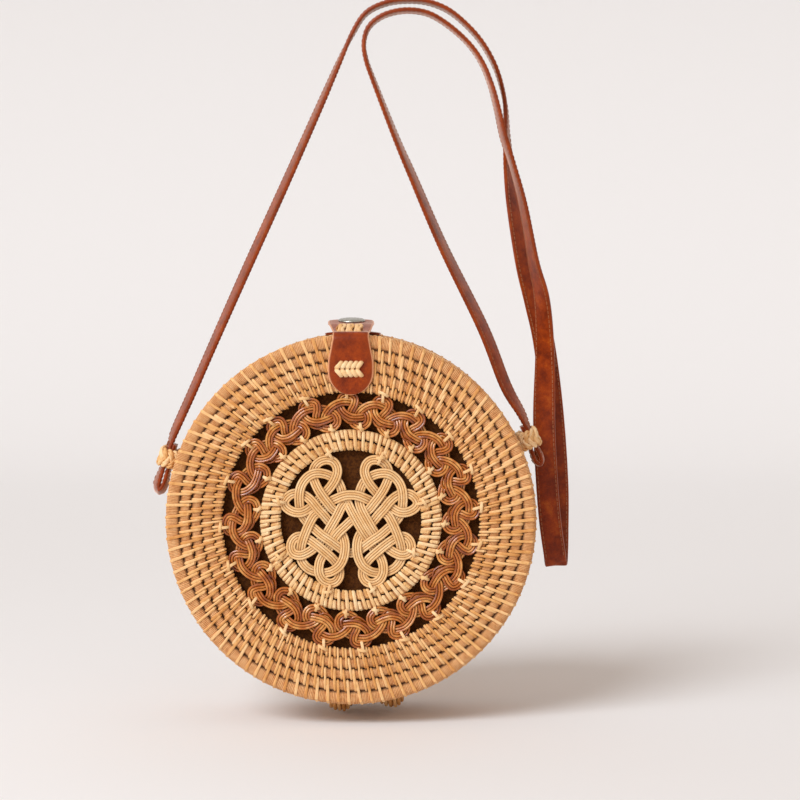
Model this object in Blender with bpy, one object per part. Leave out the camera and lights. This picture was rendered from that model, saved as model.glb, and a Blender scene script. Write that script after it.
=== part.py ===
"""Round woven shoulder bag: two coiled cane half drums, leather closure and a long leather strap.

Metres, +Z up. The origin is the top of the strap, where the bag is held.
The front of the bag faces -Y and +X is to its right.
"""

import math

import bmesh
import bpy
from mathutils import Matrix, Vector

# Fits
CLEARANCE = 0.0003

# Drum
DRUM_RADIUS = 0.100
DRUM_DEPTH = 0.080
DRUM_SIDES = 40
WALL_THICKNESS = 0.004
FACE_THICKNESS = 0.005
ROW_GROOVE = 0.0012
WALL_ROWS = 5
BACK_ROWS = 13
BACK_FLAT_RADIUS = 0.0072
HOOP_WIDTH = 0.0042
HOOP_THICKNESS = 0.0046
HOOP_ROUND_SHARE = 0.17
EDGE_ROUND = 0.0012

# Openwork of the front face
FACE_RING_WIDTH = 0.0306
FACE_ROW_SHARES = (0.161, 0.207, 0.194, 0.207, 0.231)
CHAIN_RING_WIDTH = 0.0204
INNER_RING_WIDTH = 0.0106
RING_THICKNESS = 0.0035
CHAIN_WAVES = 20
CHAIN_BAND_WIDTH = 0.0032
CHAIN_THICKNESS = 0.0026
CHAIN_SWAY = 0.0012
CHAIN_POINTS_PER_WAVE = 10

# Knot
KNOT_BAND_WIDTH = 0.0030
KNOT_BAND_THICKNESS = 0.0008
KNOT_LIFT = 0.0013
KNOT_STEP = 0.0030

# Lining
LINING_THICKNESS = 0.0010
LINING_SETBACK = 0.0100

# Bottom loops
LOOP_BORE_RADIUS = 0.0069
LOOP_THICKNESS = 0.0021
LOOP_WIDTH = 0.0110
LOOP_SPACING = 0.0285
LOOP_ANGLE = math.radians(4.3)
LOOP_SIDES = 28
HINGE_OFFSET = 0.0004

# Strap and its keepers
STRAP_DROP = 0.2841
STRAP_WIDTH = 0.0125
STRAP_THICKNESS = 0.0022
FOLD_DEPTH = 0.0225
STRAP_SETBACK = 0.0045
KEEPER_LEFT_ANGLE = math.radians(17.0)
KEEPER_RIGHT_ANGLE = math.radians(23.0)
KEEPER_OPENING_WIDTH = 0.0185
KEEPER_OPENING_HEIGHT = 0.0080
KEEPER_LENGTH = 0.0130
KEEPER_THICKNESS = 0.0028
KEEPER_CORNER = 0.0020
KEEPER_CORNER_STEPS = 3
LAYER_GAP = 0.0005
STRAP_BEND_SHARE = 0.03
STRAP_LEVEL_SHARE = 0.5
END_STITCH_SPAN = 0.0080
END_STITCH_WIDTH = 0.0010
END_STITCH_HEIGHT = 0.0006

# Closure
LEATHER_THICKNESS = 0.0015
TAB_OVERHANG = 0.0014
TAB_WIDTH = 0.0247
TAB_WAIST = 0.0196
TAB_BEND = 0.0035
TAB_TIP_SHARE = 0.2
TAB_NECK_SHARE = 0.93
BEND_STEPS = 5
FLAP_HINGE_SETBACK = 0.0138
FLAP_END = 0.0270
FLAP_END_WIDTH = 0.0250
FLAP_TIP_SHARE = 0.8
FLAP_CORNER = 0.0031
PATCH_WIDTH = 0.0310
PATCH_SETBACK = 0.0055
PATCH_LENGTH = 0.0255
PATCH_SIDES = 6
SNAP_PLACE = 0.0180
SNAP_CAP_DIAMETER = 0.0150
SNAP_CAP_HEIGHT = 0.0011
SNAP_SOCKET_DIAMETER = 0.0110
SNAP_SOCKET_HEIGHT = 0.0007
SNAP_STUD_DIAMETER = 0.0100
SNAP_STUD_HEIGHT = 0.0006
SNAP_NUB_DIAMETER = 0.0040
SNAP_NUB_HEIGHT = 0.0004
SNAP_SIDES = 24
SNAP_RIM_SHARE = 0.33
SNAP_CROWN_SHARE = 0.33
SNAP_SHOULDER_SHARES = (0.5, 0.75)
STITCH_THICKNESS = 0.0009
STITCH_CANE = 0.0016
FACE_STITCH_SPAN = 0.0150
FACE_STITCH_HEIGHT = 0.0080
FACE_STITCH_PLACE = 0.0818
TOP_STITCH_SPAN = 0.0124
TOP_STITCH_HEIGHT = 0.0034
TOP_STITCH_PLACE = 0.0215
STITCH_COUNT = 4

# The photograph's own grid, in pixels: x to the right, y downwards
ARCH_PIXEL = (410.0, 2.0)
VIEW_PIXEL = (400.0, 400.0)
DROP_PIXELS = 509.0
DRUM_PIXELS = 179.2
BAG_PIXEL = 352.65
KNOT_CENTRE_PIXEL = (352.5, 521.9)
KNOT_REACH_PIXELS = 70.0

# How much larger the fold is than its image in the strap's plane, and how much lower
FOLD_GROWTH_SHARE = 0.018
FOLD_SLOPE_SHARE = 0.07

# Knot band that runs through both bundles, right half: x, y in pixels and level share
KNOT_ARCH_PIXELS = (
    (351.6, 495.0, 1), (359.5, 495.8, 1), (367.4, 499.0, 0.6), (372.6, 501.9, -0.9),
    (377.1, 507.7, -1), (382.5, 512.0, -1), (389.2, 515.6, 0.3), (394.2, 524.0, 1),
    (397.8, 532.2, 1), (400.9, 540.5, 0.9), (402.6, 547.6, -0.4), (403.0, 554.0, -1),
    (402.2, 561.4, -0.7), (398.4, 567.0, 0), (393.4, 571.0, -0.8), (384.8, 573.6, -1),
    (377.6, 574.0, 0), (370.8, 571.9, 0.9), (364.3, 567.0, 1), (360.2, 560.0, 0.8),
    (358.4, 552.3, 1), (358.2, 544.9, 0.6), (359.9, 538.0, -0.4), (363.0, 532.8, -1),
    (368.5, 527.2, -1), (374.9, 521.4, -0.3), (380.0, 515.0, 1), (385.6, 508.9, 1),
    (390.9, 502.2, 0.8), (396.5, 497.2, -0.2), (403.4, 493.9, -1), (409.8, 493.8, -0.5),
    (414.4, 495.7, 0), (418.2, 499.7, 0), (419.3, 503.9, 0), (416.8, 508.4, 0),
    (410.6, 512.0, 0.5), (403.4, 512.8, 1), (397.2, 510.6, 0.1), (391.2, 506.4, -1),
    (385.6, 500.9, -1), (380.6, 495.4, -1), (376.0, 490.6, 0), (371.3, 484.6, 0.9),
    (367.7, 478.3, 1), (365.8, 471.2, 0.5), (367.4, 464.7, 0), (371.4, 460.7, 0),
    (377.1, 459.6, 0), (382.9, 461.2, 0), (387.2, 464.9, -0.4), (389.8, 470.3, -1),
    (390.2, 477.3, -0.7), (388.1, 483.6, 0.2), (384.6, 490.5, 1), (379.6, 498.0, 1),
    (374.8, 504.2, 1), (370.6, 509.6, 0), (364.6, 514.2, -1), (358.6, 517.6, -1),
)
# The same band's right-hand end, from the centre down to the left
KNOT_TAIL_PIXELS = (
    (352.6, 521.0, -0.2), (346.4, 526.6, 0.8), (339.6, 533.0, 1), (335.4, 538.6, 0.2),
)
# Closed band, from the left of the arch down to the lower right lobe and back up
KNOT_CROSS_PIXELS = (
    (348.2, 502.6, -0.9), (351.4, 509.0, 0.3), (355.6, 516.8, 1), (360.2, 525.0, 1),
    (364.8, 532.8, 1), (368.2, 538.0, -0.1),
)
KNOT_LOBE_PIXELS = (
    (371.0, 542.4, -1), (374.8, 549.0, -1), (379.6, 555.2, -1), (383.6, 562.2, 0.2),
    (384.9, 571.0, 1), (383.2, 577.6, 0.6), (379.6, 582.3, 0), (373.7, 584.6, 0),
    (367.4, 582.6, 0), (364.0, 577.0, -0.5), (364.4, 570.4, -1), (367.0, 564.6, -0.8),
    (371.6, 558.8, 0.4), (378.4, 552.6, 1), (385.6, 546.6, 1), (393.2, 541.2, 0.1),
    (400.2, 537.6, -1), (406.4, 537.4, -0.4), (410.8, 540.7, 0), (412.9, 545.9, 0),
    (412.5, 551.2, 0), (409.3, 555.0, 0.4), (402.9, 556.0, 1), (395.9, 553.4, 0.3),
    (390.2, 549.6, -0.7), (385.2, 544.6, -1), (380.8, 539.2, -1), (376.9, 534.6, -0.3),
)
KNOT_RISE_PIXELS = (
    (373.2, 528.4, 1), (369.2, 521.6, 1), (365.4, 514.8, 1), (362.2, 508.2, 0.2),
    (360.6, 502.1, -0.9),
)
KNOT_CROWN_PIXELS = (
    (360.6, 495.0, -1), (362.3, 488.0, -0.4), (366.4, 480.8, -1), (373.2, 476.0, -0.4),
    (380.6, 473.4, 0.3), (388.6, 473.2, 1), (395.3, 476.4, 0.5), (400.5, 482.3, 0.2),
    (403.4, 489.0, 0.9), (404.5, 496.8, 0.8), (404.2, 504.9, -0.3), (403.2, 512.1, -1),
    (399.6, 518.8, -0.8), (394.6, 524.6, -1), (388.2, 530.2, 0), (381.4, 535.9, 1),
    (372.9, 541.6, 1), (366.0, 546.9, 0), (359.4, 551.6, -1), (352.5, 553.9, -1),
)

# Strap, from the left run over the hand arch to the folded length and back:
# x, y in pixels, share of the fold depth behind the strap line, share of a quarter turn
STRAP_PIXELS = (
    (192.0, 391.0, 0, 0.08), (215.0, 339.0, 0, 0.09), (250.0, 261.0, 0, 0.09),
    (285.0, 184.5, 0, 0.08), (320.0, 106.6, 0, 0.06), (340.0, 61.5, 0, 0.03),
    (353.0, 34.2, 0, 0), (366.4, 14.4, 0, 0), (387.0, 4.4, 0, 0), (410.0, 1.8, 0, 0),
    (431.0, 4.6, 0, 0), (452.0, 14.4, 0, 0), (475.3, 36.0, 0.02, 0), (491.0, 59.8, 0.12, 0),
    (500.2, 84.2, 0.36, 0.02), (504.8, 108.0, 0.62, 0.06), (506.0, 134.0, 0.72, 0.14),
    (508.2, 164.0, 0.74, 0.28), (513.2, 202.0, 0.76, 0.45), (523.6, 260.0, 0.84, 0.6),
    (534.0, 300.0, 0.94, 0.74), (543.6, 340.0, 1, 0.88), (552.2, 407.0, 1, 1),
    (557.4, 478.0, 1, 1), (557.8, 530.0, 1, 1), (557.4, 551.0, 1, 1), (557.0, 558.6, 0.95, 1),
    (556.4, 561.4, 0.82, 1), (555.7, 558.6, 0.69, 1), (554.8, 551.0, 0.64, 1),
    (550.4, 520.0, 0.64, 1), (547.0, 480.0, 0.64, 1), (544.0, 420.0, 0.62, 0.96),
    (544.6, 350.0, 0.5, 0.6), (541.6, 298.0, 0.36, 0.4), (533.0, 260.0, 0.22, 0.22),
    (522.4, 204.0, 0.02, 0.13), (511.6, 164.0, -0.12, 0.08), (502.8, 136.0, -0.16, 0.1),
    (496.4, 108.0, -0.14, 0.07), (489.8, 84.2, -0.08, 0.04), (480.3, 61.8, -0.02, 0.02),
    (466.6, 43.0, 0, 0), (446.6, 25.6, 0, 0), (427.0, 14.6, 0, 0), (405.0, 11.8, 0, 0),
    (384.0, 16.6, 0, 0), (369.4, 27.6, 0, 0), (364.2, 43.0, 0, 0), (366.2, 59.5, 0, 0.03),
    (373.2, 79.4, 0, 0.06), (396.1, 137.5, 0, 0.12), (412.6, 175.5, 0, 0.18),
    (443.2, 245.8, 0, 0.23), (483.0, 326.5, 0, 0.27), (505.0, 382.5, 0, 0.22),
)

# Doubled strap end in its keeper, as shares of the keeper's length below its middle
# and shares of the layers' spacing outwards; from the free end down, round and up again
STRAP_END_SHARES = (
    (-0.74, -0.66), (0.0, -0.52), (0.58, -0.9), (1.22, -1.3), (1.62, -0.95),
    (1.78, -0.1), (1.64, 0.85), (1.22, 1.25), (0.58, 0.8), (0.0, 0.5), (-0.64, 0.5),
    (-1.3, 0.3),
)

ACROSS_PIXEL = DRUM_RADIUS / DRUM_PIXELS
DOWN_PIXEL = STRAP_DROP / DROP_PIXELS
BAG_OFFSET = (ARCH_PIXEL[0] - BAG_PIXEL) * ACROSS_PIXEL
BAG_CENTRE = Vector((-BAG_OFFSET, -STRAP_SETBACK, -STRAP_DROP))
OPENWORK_RADIUS = DRUM_RADIUS - FACE_RING_WIDTH
RING_OUTER_RADIUS = OPENWORK_RADIUS - CHAIN_RING_WIDTH
RING_INNER_RADIUS = RING_OUTER_RADIUS - INNER_RING_WIDTH
HALF_DEPTH = DRUM_DEPTH / 2
HALF_CLEARANCE = CLEARANCE / 2
FACE_BACK = HALF_DEPTH - FACE_THICKNESS
WALL_INSIDE = DRUM_RADIUS - WALL_THICKNESS
WALL_START = HALF_CLEARANCE + HOOP_WIDTH + CLEARANCE
WALL_END = FACE_BACK - CLEARANCE
LEATHER_SEAT = DRUM_RADIUS + CLEARANCE
LEATHER_TOP = LEATHER_SEAT + LEATHER_THICKNESS
HINGE_RADIUS = DRUM_RADIUS + HINGE_OFFSET
KEEPER_SEAT = DRUM_RADIUS + CLEARANCE
KEEPER_MIDDLE = KEEPER_SEAT + KEEPER_THICKNESS + KEEPER_OPENING_HEIGHT / 2
LAYER_SPACING = STRAP_THICKNESS + LAYER_GAP
TAB_FOOT = OPENWORK_RADIUS - TAB_OVERHANG
KNOT_REACH = RING_INNER_RADIUS - CLEARANCE - KNOT_BAND_WIDTH / 2
KNOT_PIXEL = KNOT_REACH / KNOT_REACH_PIXELS

CANE = ("woven_cane", (0.73, 0.47, 0.22, 1.0), 0.55, 0.0)
PALE_CANE = ("pale_cane", (0.83, 0.62, 0.33, 1.0), 0.50, 0.0)
DARK_CANE = ("dark_cane", (0.42, 0.13, 0.04, 1.0), 0.38, 0.0)
LEATHER = ("brown_leather", (0.26, 0.07, 0.025, 1.0), 0.42, 0.0)
CLOTH = ("lining_cloth", (0.05, 0.025, 0.012, 1.0), 0.90, 0.0)
NICKEL = ("nickel", (0.62, 0.61, 0.57, 1.0), 0.25, 1.0)


def finish_of(spec):
    """The material of this name, made once."""
    name, colour, roughness, metallic = spec
    material = bpy.data.materials.get(name)
    if material is None:
        material = bpy.data.materials.new(name)
        material.use_nodes = True
        shader = material.node_tree.nodes["Principled BSDF"]
        shader.inputs["Base Color"].default_value = colour
        shader.inputs["Roughness"].default_value = roughness
        shader.inputs["Metallic"].default_value = metallic
        material.diffuse_color = colour
    return material


def pivot(name, place, parent=None):
    """An empty on a joint's axis, with its place kept for what hangs on it."""
    empty = bpy.data.objects.new(name, None)
    bpy.context.collection.objects.link(empty)
    empty.parent = parent
    empty["place"] = tuple(place)
    empty.location = place - (Vector(parent["place"]) if parent else Vector())
    return empty


def add_piece(name, bm, spec, parent=None, place=BAG_CENTRE, crease=35.0):
    """Turns a bmesh drawn about `place` into the named piece, hung on its parent."""
    bmesh.ops.recalc_face_normals(bm, faces=bm.faces[:])
    mesh = bpy.data.meshes.new(name)
    bm.to_mesh(mesh)
    bm.free()
    mesh.shade_smooth()
    mesh.set_sharp_from_angle(angle=math.radians(crease))
    piece = bpy.data.objects.new(name, mesh)
    bpy.context.collection.objects.link(piece)
    mesh.materials.append(finish_of(spec))
    piece.parent = parent
    piece.location = place - (Vector(parent["place"]) if parent else Vector())
    return piece


def turned(profile, sides, axis=(0.0, 1.0, 0.0), closed=True):
    """A body turned about an axis from (radius, along) points; an open profile ends on the axis."""
    bm = bmesh.new()
    along = Vector(axis)
    across = Vector((0.0, 0.0, 1.0)) if abs(along.z) < 1 else Vector((1.0, 0.0, 0.0))
    points = [bm.verts.new(across * radius + along * depth) for radius, depth in profile]
    pairs = list(zip(points, points[1:]))
    if closed:
        pairs.append((points[-1], points[0]))
    edges = [bm.edges.new(pair) for pair in pairs]
    bmesh.ops.spin(
        bm, geom=points + edges, cent=(0.0, 0.0, 0.0), axis=along,
        angle=math.tau, steps=sides, use_merge=True,
    )
    bmesh.ops.remove_doubles(bm, verts=bm.verts[:], dist=CLEARANCE / 100)
    return bm


def smooth_curve(points, closed=False, steps=8):
    """A Catmull-Rom curve through points of any dimension."""
    count = len(points)
    curve = []
    for index in range(count if closed else count - 1):
        if closed:
            four = [points[(index + shift) % count] for shift in (-1, 0, 1, 2)]
        else:
            four = [points[min(max(index + shift, 0), count - 1)] for shift in (-1, 0, 1, 2)]
        for step in range(steps):
            t = step / steps
            weights = (
                (-t + 2 * t * t - t ** 3) / 2,
                (2 - 5 * t * t + 3 * t ** 3) / 2,
                (t + 4 * t * t - 3 * t ** 3) / 2,
                (t ** 3 - t * t) / 2,
            )
            curve.append(sum((p * w for p, w in zip(four, weights)), points[0] * 0))
    if not closed:
        curve.append(points[-1])
    return curve


def spread(curve, spacing, closed=False):
    """Points an even distance apart along a fine curve of (place, other values)."""
    line = curve + [curve[0]] if closed else curve
    lengths = [0.0]
    for a, b in zip(line, line[1:]):
        lengths.append(lengths[-1] + (b.xyz - a.xyz).length)
    count = max(2, round(lengths[-1] / spacing))
    even = []
    at = 0
    for index in range(count if closed else count + 1):
        target = lengths[-1] * index / count
        while at < len(lengths) - 2 and lengths[at + 1] < target:
            at += 1
        span = lengths[at + 1] - lengths[at]
        share = (target - lengths[at]) / span if span else 0.0
        even.append(line[at].lerp(line[at + 1], min(share, 1.0)))
    return even


def band(sections, closed=False):
    """A solid through sections, each a list of corner places in the same order."""
    bm = bmesh.new()
    rings = [[bm.verts.new(corner) for corner in section] for section in sections]
    pairs = list(zip(rings, rings[1:]))
    if closed:
        pairs.append((rings[-1], rings[0]))
    for first, second in pairs:
        for index in range(len(first)):
            after = (index + 1) % len(first)
            bm.faces.new((first[index], first[after], second[after], second[index]))
    if not closed:
        bm.faces.new(rings[0])
        bm.faces.new(list(reversed(rings[-1])))
    return bm


def box_section(place, wide, thick, width, thickness):
    """Four corners of a flat band's cross-section."""
    across = wide.normalized() * width / 2
    through = thick.normalized() * thickness / 2
    return [
        place - across - through, place + across - through,
        place + across + through, place - across + through,
    ]


def around(points, index, closed):
    """The direction of a line of places at one of its points."""
    count = len(points)
    if closed:
        return (points[(index + 1) % count] - points[index - 1]).normalized()
    return (points[min(index + 1, count - 1)] - points[max(index - 1, 0)]).normalized()


def polar(radius, angle, depth=0.0):
    """A place on the drum: angle from +X towards +Z, depth backwards."""
    return Vector((radius * math.cos(angle), depth, radius * math.sin(angle)))


def face_profile():
    """Ring of coil rows round the openwork, from its inner edge outwards."""
    width = DRUM_RADIUS - OPENWORK_RADIUS
    profile = [(OPENWORK_RADIUS, -FACE_BACK), (OPENWORK_RADIUS, ROW_GROOVE - HALF_DEPTH)]
    start = OPENWORK_RADIUS
    for share in FACE_ROW_SHARES:
        end = start + width * share
        profile.append(((start + end) / 2, -HALF_DEPTH))
        profile.append((end, ROW_GROOVE - HALF_DEPTH))
        start = end
    profile[-1] = (DRUM_RADIUS - EDGE_ROUND, EDGE_ROUND - HALF_DEPTH)
    profile.append((DRUM_RADIUS, 2 * EDGE_ROUND - HALF_DEPTH))
    profile.append((DRUM_RADIUS, -FACE_BACK))
    return profile


def wall_profile(side):
    """Coiled wall of one half; side is -1 for the front and 1 for the back."""
    profile = [(WALL_INSIDE, side * WALL_END), (WALL_INSIDE, side * WALL_START)]
    row = (WALL_END - WALL_START) / WALL_ROWS
    for index in range(WALL_ROWS):
        profile.append((DRUM_RADIUS - ROW_GROOVE, side * (WALL_START + row * index)))
        profile.append((DRUM_RADIUS, side * (WALL_START + row * (index + 0.5))))
    profile.append((DRUM_RADIUS - ROW_GROOVE, side * WALL_END))
    return profile


def hoop_profile(side):
    """Rim hoop of one half, at the seam."""
    inside = DRUM_RADIUS - HOOP_THICKNESS
    near = side * HALF_CLEARANCE
    far = side * (HALF_CLEARANCE + HOOP_WIDTH)
    bevel = HOOP_THICKNESS * HOOP_ROUND_SHARE
    return [
        (inside, near), (DRUM_RADIUS - bevel, near), (DRUM_RADIUS, near + side * bevel),
        (DRUM_RADIUS, far - side * bevel), (DRUM_RADIUS - bevel, far), (inside, far),
    ]


def lining_profile(side):
    """Cloth cup inside one half, open to the seam."""
    outside = WALL_INSIDE - CLEARANCE
    bottom = side * (FACE_BACK - CLEARANCE)
    mouth = side * LINING_SETBACK
    return [
        (0.0, bottom), (outside, bottom), (outside, mouth),
        (outside - LINING_THICKNESS, mouth),
        (outside - LINING_THICKNESS, bottom - side * LINING_THICKNESS),
        (0.0, bottom - side * LINING_THICKNESS),
    ]


def back_profile():
    """Closed coiled disc of the back, flat in the middle."""
    row = (DRUM_RADIUS - BACK_FLAT_RADIUS) / BACK_ROWS
    profile = [(0.0, FACE_BACK), (DRUM_RADIUS, FACE_BACK)]
    profile.append((DRUM_RADIUS, HALF_DEPTH - 2 * EDGE_ROUND))
    profile.append((DRUM_RADIUS - EDGE_ROUND, HALF_DEPTH - EDGE_ROUND))
    for index in range(BACK_ROWS):
        end = DRUM_RADIUS - row * (index + 1)
        profile.append((end + row / 2, HALF_DEPTH))
        profile.append((end, HALF_DEPTH - ROW_GROOVE))
    profile[-1] = (BACK_FLAT_RADIUS, HALF_DEPTH)
    profile.append((0.0, HALF_DEPTH))
    return profile


def inner_ring_profile():
    """Two wrapped coils round the knot."""
    front = -HALF_DEPTH
    middle = (RING_INNER_RADIUS + RING_OUTER_RADIUS) / 2
    quarter = (RING_OUTER_RADIUS - RING_INNER_RADIUS) / 4
    back = front + RING_THICKNESS
    return [
        (RING_INNER_RADIUS, back), (RING_INNER_RADIUS, front + EDGE_ROUND),
        (middle - quarter, front), (middle, front + ROW_GROOVE),
        (middle + quarter, front), (RING_OUTER_RADIUS, front + EDGE_ROUND),
        (RING_OUTER_RADIUS, back),
    ]


def chain_band():
    """Flat dark cane that sways between the openwork's edge and the inner ring."""
    inner = RING_OUTER_RADIUS + CLEARANCE + CHAIN_BAND_WIDTH / 2
    outer = OPENWORK_RADIUS - CLEARANCE - CHAIN_BAND_WIDTH / 2
    middle = (inner + outer) / 2
    reach = (outer - inner) / 2
    depth = RING_THICKNESS / 2 - HALF_DEPTH
    places = []
    for index in range(CHAIN_WAVES * CHAIN_POINTS_PER_WAVE):
        turn = math.tau * index / CHAIN_POINTS_PER_WAVE
        angle = turn / CHAIN_WAVES + CHAIN_SWAY * math.sin(2 * turn) / middle
        places.append(polar(middle + reach * math.cos(turn), angle, depth))
    sections = []
    for index, place in enumerate(places):
        along = around(places, index, True)
        wide = along.cross(Vector((0.0, 1.0, 0.0)))
        sections.append(box_section(
            place, wide, Vector((0.0, 1.0, 0.0)), CHAIN_BAND_WIDTH, CHAIN_THICKNESS,
        ))
    return band(sections, closed=True)


def mirrored(points):
    """Knot points on the other side of its middle line."""
    return [(2 * KNOT_CENTRE_PIXEL[0] - x, y, level) for x, y, level in points]


def knot_band(points, closed):
    """One flat band of the knot, raised and lowered where it crosses."""
    depth = RING_THICKNESS / 2 - HALF_DEPTH
    rough = [
        Vector((
            (x - KNOT_CENTRE_PIXEL[0]) * KNOT_PIXEL,
            depth - level * KNOT_LIFT,
            (KNOT_CENTRE_PIXEL[1] - y) * KNOT_PIXEL,
        ))
        for x, y, level in points
    ]
    places = spread(smooth_curve(rough, closed), KNOT_STEP, closed)
    sections = []
    for index, place in enumerate(places):
        along = around(places, index, closed)
        wide = along.cross(Vector((0.0, 1.0, 0.0)))
        sections.append(box_section(
            place, wide, Vector((0.0, 1.0, 0.0)), KNOT_BAND_WIDTH, KNOT_BAND_THICKNESS,
        ))
    return band(sections, closed)


def open_knot_points():
    """From the end tucked in on the left, over the arch, to the end just below the arch."""
    left = list(reversed(mirrored(KNOT_ARCH_PIXELS)))
    lobe = mirrored(KNOT_LOBE_PIXELS)
    rise = mirrored(KNOT_RISE_PIXELS)[:-1]
    return left[1:-1] + list(KNOT_ARCH_PIXELS) + list(KNOT_TAIL_PIXELS) + lobe + rise


def closed_knot_points():
    """Down across the middle, round the right lobe, up, and round both crowns."""
    crown = list(KNOT_CROWN_PIXELS)
    back = list(reversed(mirrored(KNOT_CROWN_PIXELS)))[1:]
    return list(KNOT_CROSS_PIXELS) + list(KNOT_LOBE_PIXELS) + list(KNOT_RISE_PIXELS) + crown + back


def rounded_loop(centre_height, width, height, corner):
    """Points of a rounded rectangle as (outward, backward)."""
    loop = []
    for quarter, (up, back) in enumerate(((1, 1), (-1, 1), (-1, -1), (1, -1))):
        for step in range(KEEPER_CORNER_STEPS + 1):
            angle = math.pi / 2 * (quarter + step / KEEPER_CORNER_STEPS)
            loop.append((
                centre_height + up * (height / 2 - corner) + corner * math.cos(angle),
                back * (width / 2 - corner) + corner * math.sin(angle),
            ))
    return loop


def keeper_frame(angle, right):
    """Outward direction, downward direction along the wall, and middle of a keeper."""
    outward = polar(1.0, angle if right else math.pi - angle)
    down = Vector((outward.z, 0.0, -outward.x)) if right else Vector((-outward.z, 0.0, outward.x))
    middle = outward * KEEPER_MIDDLE + Vector((0.0, STRAP_SETBACK, 0.0))
    return outward, down, middle


def keeper(angle, right):
    """Braided loop on the wall that the strap runs through."""
    outward, down, middle = keeper_frame(angle, right)
    outer = rounded_loop(
        0.0, KEEPER_OPENING_WIDTH + 2 * KEEPER_THICKNESS,
        KEEPER_OPENING_HEIGHT + 2 * KEEPER_THICKNESS, KEEPER_CORNER + KEEPER_THICKNESS,
    )
    inner = rounded_loop(0.0, KEEPER_OPENING_WIDTH, KEEPER_OPENING_HEIGHT, KEEPER_CORNER)
    bm = bmesh.new()
    rings = []
    for points, end in ((outer, -1), (outer, 1), (inner, 1), (inner, -1)):
        shift = middle + down * (end * KEEPER_LENGTH / 2)
        rings.append([
            bm.verts.new(shift + outward * out + Vector((0.0, back, 0.0)))
            for out, back in points
        ])
    for first, second in zip(rings, rings[1:] + rings[:1]):
        for index in range(len(first)):
            after = (index + 1) % len(first)
            bm.faces.new((first[index], first[after], second[after], second[index]))
    return bm


def strap_end(angle, right):
    """Places along the doubled end of the strap in one keeper, from its free end."""
    outward, down, middle = keeper_frame(angle, right)
    places = []
    for below, out in STRAP_END_SHARES:
        place = middle + down * (below * KEEPER_LENGTH) + outward * (out * LAYER_SPACING)
        places.append((BAG_CENTRE + place, 0.0))
    return places


def strap_route():
    """Places and quarter turns along the whole strap, from its left end to its right end."""
    middle = []
    for x, y, back_share, turn_share in STRAP_PIXELS:
        back = back_share * FOLD_DEPTH
        growth = 1 + back_share * FOLD_GROWTH_SHARE
        across = (x - VIEW_PIXEL[0]) * growth + VIEW_PIXEL[0] - ARCH_PIXEL[0]
        down = (y - VIEW_PIXEL[1]) * growth + VIEW_PIXEL[1] - ARCH_PIXEL[1]
        place = Vector((
            across * ACROSS_PIXEL, back, -down * DOWN_PIXEL - back * FOLD_SLOPE_SHARE,
        ))
        middle.append((place, turn_share))
    left = strap_end(KEEPER_LEFT_ANGLE, False)
    right = strap_end(KEEPER_RIGHT_ANGLE, True)
    return left + middle + list(reversed(right))


def strap_places():
    """Places and turns along the strap, close together round its bends only."""
    fine = smooth_curve([Vector((*place, turn)) for place, turn in strap_route()], steps=6)
    places = [fine[0]]
    for before, here, after in zip(fine, fine[1:], fine[2:]):
        reach = (here.xyz - before.xyz).length
        bend = (here.xyz - before.xyz).angle(after.xyz - here.xyz, 0.0)
        curved = bend > STRAP_BEND_SHARE * reach / STRAP_THICKNESS
        step = STRAP_THICKNESS if curved else STRAP_WIDTH
        if (here.xyz - places[-1].xyz).length > step:
            places.append(here)
    places.append(fine[-1])
    return places


def strap_band():
    """Long leather band, edge on along its runs and turned flat down its folded length."""
    places = strap_places()
    line = [place.xyz for place in places]
    sections = []
    wide = Vector((0.0, 1.0, 0.0))
    for index, place in enumerate(places):
        along = around(line, index, False)
        flat = along.cross(Vector((0.0, 1.0, 0.0)))
        if flat.length < STRAP_LEVEL_SHARE:
            flat = Vector((1.0, 0.0, 0.0))
        flat.normalize()
        angle = place.w * math.pi / 2
        turned_wide = flat.cross(along).normalized() * math.cos(angle) + flat * math.sin(angle)
        wide = turned_wide if turned_wide.dot(wide) > 0 else -turned_wide
        thick = along.cross(wide)
        sections.append(box_section(place.xyz, wide, thick, STRAP_WIDTH, STRAP_THICKNESS))
    return band(sections)


def leather_strip(rows, thickness):
    """A strip from (depth, height, width) rows of its lower face, flat across."""
    sections = []
    line = [Vector((0.0, depth, height)) for depth, height, _ in rows]
    for index, (depth, height, width) in enumerate(rows):
        along = around(line, index, False)
        up = Vector((1.0, 0.0, 0.0)).cross(along).normalized()
        place = line[index] + up * thickness / 2
        sections.append(box_section(place, Vector((1.0, 0.0, 0.0)), up, width, thickness))
    return band(sections)


def tab_rows():
    """Sewn tab: up the face from its round foot, over the edge and back to the flap."""
    face = -HALF_DEPTH - CLEARANCE
    rows = []
    for step in range(BEND_STEPS):
        angle = math.pi / 2 * step / BEND_STEPS
        foot = TAB_FOOT + TAB_WIDTH / 2 * (1 - math.cos(angle))
        rows.append((face, foot, TAB_WIDTH * max(math.sin(angle), TAB_TIP_SHARE)))
    rows.append((face, TAB_FOOT + TAB_WIDTH / 2, TAB_WIDTH))
    rows.append((face, (TAB_FOOT + DRUM_RADIUS) / 2 + TAB_BEND, TAB_WIDTH * TAB_NECK_SHARE))
    for step in range(BEND_STEPS):
        angle = math.pi / 2 * step / (BEND_STEPS - 1)
        rows.append((
            face + TAB_BEND * (1 - math.cos(angle)),
            LEATHER_SEAT - TAB_BEND * (1 - math.sin(angle)),
            TAB_WAIST,
        ))
    rows.append((-FLAP_HINGE_SETBACK - HALF_CLEARANCE, LEATHER_SEAT, TAB_WAIST))
    return rows


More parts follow.
